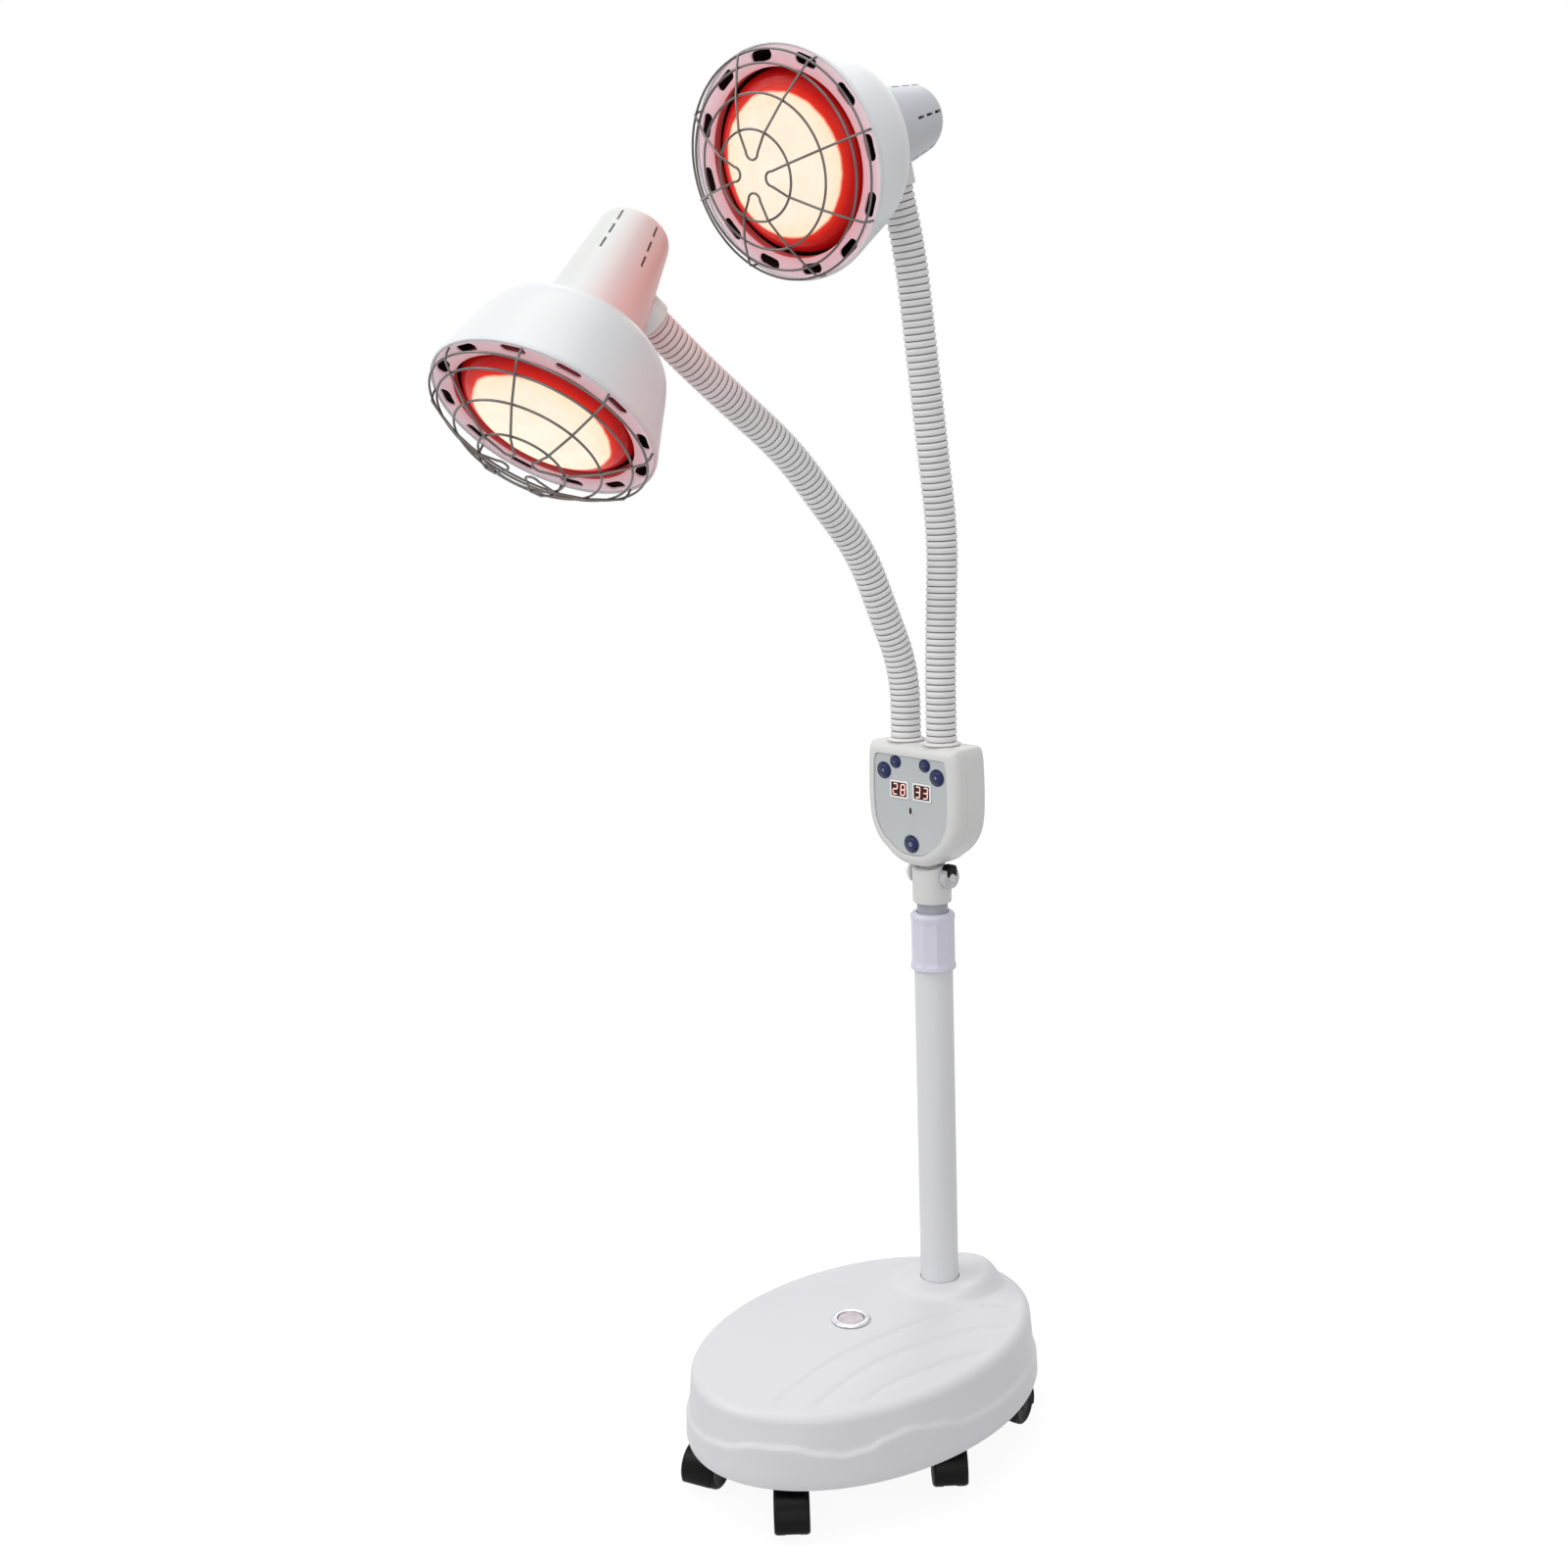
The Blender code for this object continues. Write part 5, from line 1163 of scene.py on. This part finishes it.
def make_head(joint, side):
    turn = joint @ Matrix.Rotation(math.radians(HEAD_TURN[side]), 4, "Z")
    facing = at(0, -ARM_DEPTH, cup_radius(ARM_DEPTH) + 0.0055) @ Matrix.Rotation(-math.pi / 2, 4, "X")
    head = turn @ facing
    body = "head_" + side
    bell = as_object("bell_" + side, lathe(shade_profile(), 144, True), "shade_" + side, head)
    # The bell's inside takes painted shade.
    darken_inside_as_shade(bell, 0.0040)
    attach(bell, body, "white_plastic", "shade_" + side)
    make_cup(head, body, side)
    fitting = as_object("hose_fitting_" + side, lathe(rounded(FITTING, 0.0007), 64, True), "fitting", turn)
    cone = lathe([(cup_radius(depth) + 0.0002, depth) for depth in (SHADE_BACK, 0.1665)], 96)
    cut_with(fitting, [moved(cone, facing)])
    attach(fitting, body, "hose_plastic", "head_nut_" + side)
    make_plate(head, body, side)
    make_guard(head, body, side)
    make_bulb(head, body, side)


def darken_inside_as_shade(target, depth):
    """Painted shade: a dark colour on the faces that look at the head's axis, past a depth behind the rim,
    for the shade inside the head.
    """
    target.data.materials.append(LOOK["inside"])
    for face in target.data.polygons:
        towards = face.center.x * face.normal.x + face.center.y * face.normal.y
        if face.center.z > depth and towards < -0.1 * math.hypot(face.center.x, face.center.y):
            face.material_index = len(target.data.materials) - 1


def make_cup(head, body, side):
    tail = through([(0.0275, 0.1430), (0.0262, 0.1526), (0.0252, 0.1585), (0.0225, 0.1635), (0.0170, 0.1662),
                    (0.0090, 0.1668), (0.0, 0.1668)], 6)
    inner = [(0.0, 0.1650), (0.0150, 0.1645), (0.0215, 0.1612), (0.0244, 0.1526), (0.0257, 0.1430),
             (0.0344, 0.0783)]
    rows = inner + [(0.0358, 0.0783), (CUP_WIDE, 0.0787)] + [(max(p.x, 0), p.y) for p in tail]
    cup = as_object("lamp_cup_" + side, lathe(rows, 108), "cup_" + side, head)
    # The cup's inside takes painted shade.
    darken_inside_as_shade(cup, 0.0)
    slots = bmesh.new()
    size = Matrix.Diagonal((0.024, 0.0019, 0.0095, 1))
    for group in range(6):
        spin = Matrix.Rotation(math.radians(55 + 60 * group), 4, "Z")
        for index in range(3):
            bmesh.ops.create_cube(slots, size=1, matrix=spin @ at(0.030, 0, 0.12675 + 0.0135 * index) @ size)
    bore = lathe([(0.0063, 0.010), (0.0063, 0.060)], 32)
    cut_with(cup, [slots, moved(bore, at(0, 0, ARM_DEPTH) @ Matrix.Rotation(-math.pi / 2, 4, "X"))])
    attach(cup, body, "white_plastic", "lamp_neck_" + side)


def make_plate(head, body, side):
    low, high, lip = 0.0010, 0.0025, 0.0085
    ring = [(0.0781, low), (0.0781, high), (0.0653, high), (0.0651, lip), (0.0642, lip), (PLATE_INNER, low)]
    plate = as_object("ring_plate_" + side, lathe(rounded(ring, 0.0004), 144, True), "plate", head)
    holes = bmesh.new()
    half = (0.018 - 0.0075) / 2
    ends = arc(0.00375, -90, 90, 10, (half, 0)) + arc(0.00375, 90, 270, 10, (-half, 0))
    for turn in turns(12):
        spin = Matrix.Rotation(turn, 3, "Z")
        cover_rows(holes, [[spin @ Vector((x, y + 0.072, z)) for x, y in ends] for z in (-0.003, 0.006)])
    cut_with(plate, [holes])
    # The lip and the inner edge take the bulb's red glow, painted on.
    plate.data.materials.append(LOOK["lip"])
    for face in plate.data.polygons:
        if face.center.z > high + 0.0003 or math.hypot(face.center.x, face.center.y) < 0.0642:
            face.material_index = 1
    attach(plate, body, "pink_plate", "front_plate_" + side)


def ring_height(radius):
    """Height ahead of the rim of the guard's dome at a radius."""
    steps = ((0.0, 0.0365),) + GUARD_RINGS + ((0.0785, 0.0003),)
    for (low, high_z), (high, low_z) in zip(steps, steps[1:]):
        if radius <= high:
            return high_z + (low_z - high_z) * (radius - low) / (high - low)
    return 0.0


def make_guard(head, body, side):
    """Four rings, and four hairpins that run in from the rim and turn back near the middle."""
    routes = [(circle_row(radius, -height, 96), True) for radius, height in GUARD_RINGS]
    hook = math.radians(22.5)
    foot = Vector((0.078 * math.cos(hook), 0.078 * math.sin(hook)))
    tip = Vector((0.0160, 0.0050))
    leg = [(foot.x, foot.y, -0.0003)]
    for step in range(41):
        spot = foot.lerp(tip, step / 40)
        leg.append((spot.x, spot.y, -ring_height(spot.length) - PIN_RISE))
    bow = [(tip.x - tip.y * math.sin(math.pi * step / 14), tip.y * math.cos(math.pi * step / 14),
            -ring_height(0.0165) - PIN_RISE) for step in range(1, 14)]
    pin = leg + bow + [(x, -y, z) for x, y, z in reversed(leg)]
    for index in range(4):
        spin = Matrix.Rotation(math.radians(14 + 90 * index), 3, "Z")
        routes.append(([tuple(spin @ Vector(point)) for point in pin], False))
    attach(tube("wire_guard_" + side, routes, WIRE_RADIUS, "wire", head), body, "guard_wire", "guard_" + side)


def make_bulb(head, body, side):
    front = [(max(p.x, 0), p.y) for p in through(BULB_FRONT, 5)] + [(0.0610, 0.0136), (0, 0.0136)]
    lens = as_object("bulb_face_" + side, lathe(front, 112), "bulb", head)
    attach(lens, body, "bulb_glass", "bulb_" + side)
    rest = [(0, 0.0138), (0.0612, 0.0138)] + [(p.x, p.y + 0.0003) for p in through(BULB_FLANK, 4)]
    rest += [(0.0133, 0.1264), (0.0133, 0.1446), (0.0090, 0.149), (0, 0.149)]
    attach(as_object("bulb_back_" + side, lathe(rest, 80), "silver", head), body, "bulb_glass")


# Room. Each light has its name, place, size and power.
LIGHTS = (
    ("key", (-1.5, -2.3, 2.7), 2.2, 40),
    ("top", (0.1, -0.1, 3.3), 2.6, 33),
    ("fill", (2.3, -2.1, 1.4), 2.4, 20),
    ("back", (-1.6, 2.2, 2.6), 2.0, 8),
)
AIM = Vector((0, 0, 0.55))


def seen_by(tree, *rays):
    """1 for the named kinds of ray and 0 for others."""
    path = add_node(tree, "LightPath")
    total = path.outputs[rays[0]]
    for ray in rays[1:]:
        either = add_node(tree, "Math", None, "MAXIMUM")
        feed(tree, total, either, 0)
        feed(tree, path.outputs[ray], either, 1)
        total = either.outputs["Value"]
    return total


def floor_paint():
    """White where the camera or a gloss sees it, and a mid grey for the light it throws back."""
    paint, tree, shader = new_material("floor_paint")
    feed(tree, ramp(tree, noise(tree, 3, 2), [(0.3, grey(0.52)), (0.7, grey(0.56))]), shader, "Base Color")
    shader.inputs["Roughness"].default_value = 0.9
    dim = add_node(tree, "BsdfDiffuse", {"Color": (0.10, 0.10, 0.10, 1)})
    white = add_node(tree, "Emission")
    feed(tree, ranged(tree, radial(tree, 0.3, 1.2), (0, 1), 0.93, 1.02), white, "Strength")
    lift = add_node(tree, "AddShader")
    feed(tree, dim.outputs["BSDF"], lift, 0)
    feed(tree, white.outputs["Emission"], lift, 1)
    seen = add_node(tree, "MixShader")
    feed(tree, seen_by(tree, "Is Camera Ray", "Is Glossy Ray"), seen, "Fac")
    feed(tree, shader.outputs["BSDF"], seen, 1)
    feed(tree, lift.outputs["Shader"], seen, 2)
    feed(tree, seen.outputs["Shader"], tree.nodes["Material Output"], "Surface")
    return paint


def make_room():
    shape = bmesh.new()
    bmesh.ops.create_circle(shape, cap_ends=True, radius=9, segments=96)
    floor = as_object("floor", shape, "base")
    floor.data.materials.clear()
    floor.data.materials.append(floor_paint())
    world = bpy.data.worlds.new("world")
    bpy.context.scene.world = world
    world.use_nodes = True
    tree = world.node_tree
    back = tree.nodes["Background"]
    back.inputs["Color"].default_value = (1, 1, 1, 1)
    seen = seen_by(tree, "Is Camera Ray", "Is Glossy Ray", "Is Transmission Ray")
    feed(tree, ranged(tree, seen, (0, 1), 0.42, 1.0), back, "Strength")
    for name, spot, size, power in LIGHTS:
        data = bpy.data.lights.new(name, "AREA")
        data.shape = "DISK"
        data.size = size
        data.energy = power
        lamp = linked(name, data)
        lamp.location = spot
        lamp.rotation_euler = (AIM - Vector(spot)).to_track_quat("-Z", "Y").to_euler()


def paint_solids():
    """Solids that stay as they are take a finish of their own."""
    for name, look in (("base_plate", "floor_plate"), ("counterweight", "iron"), ("collar_bush", "bush"),
                       ("circuit_board", "board"), ("lamp_holder_left", "ceramic"),
                       ("lamp_holder_right", "ceramic")):
        for slot in frame["nodes"][name].material_slots:
            slot.material = LOOK[look]


make_camera()
LOOK = make_materials()
make_base()
make_casters()
make_pole()
make_neck()
make_box()
for side in SIDES:
    make_head(make_arm(side), side)
paint_solids()
make_room()
bpy.context.scene.view_settings.view_transform = "Standard"
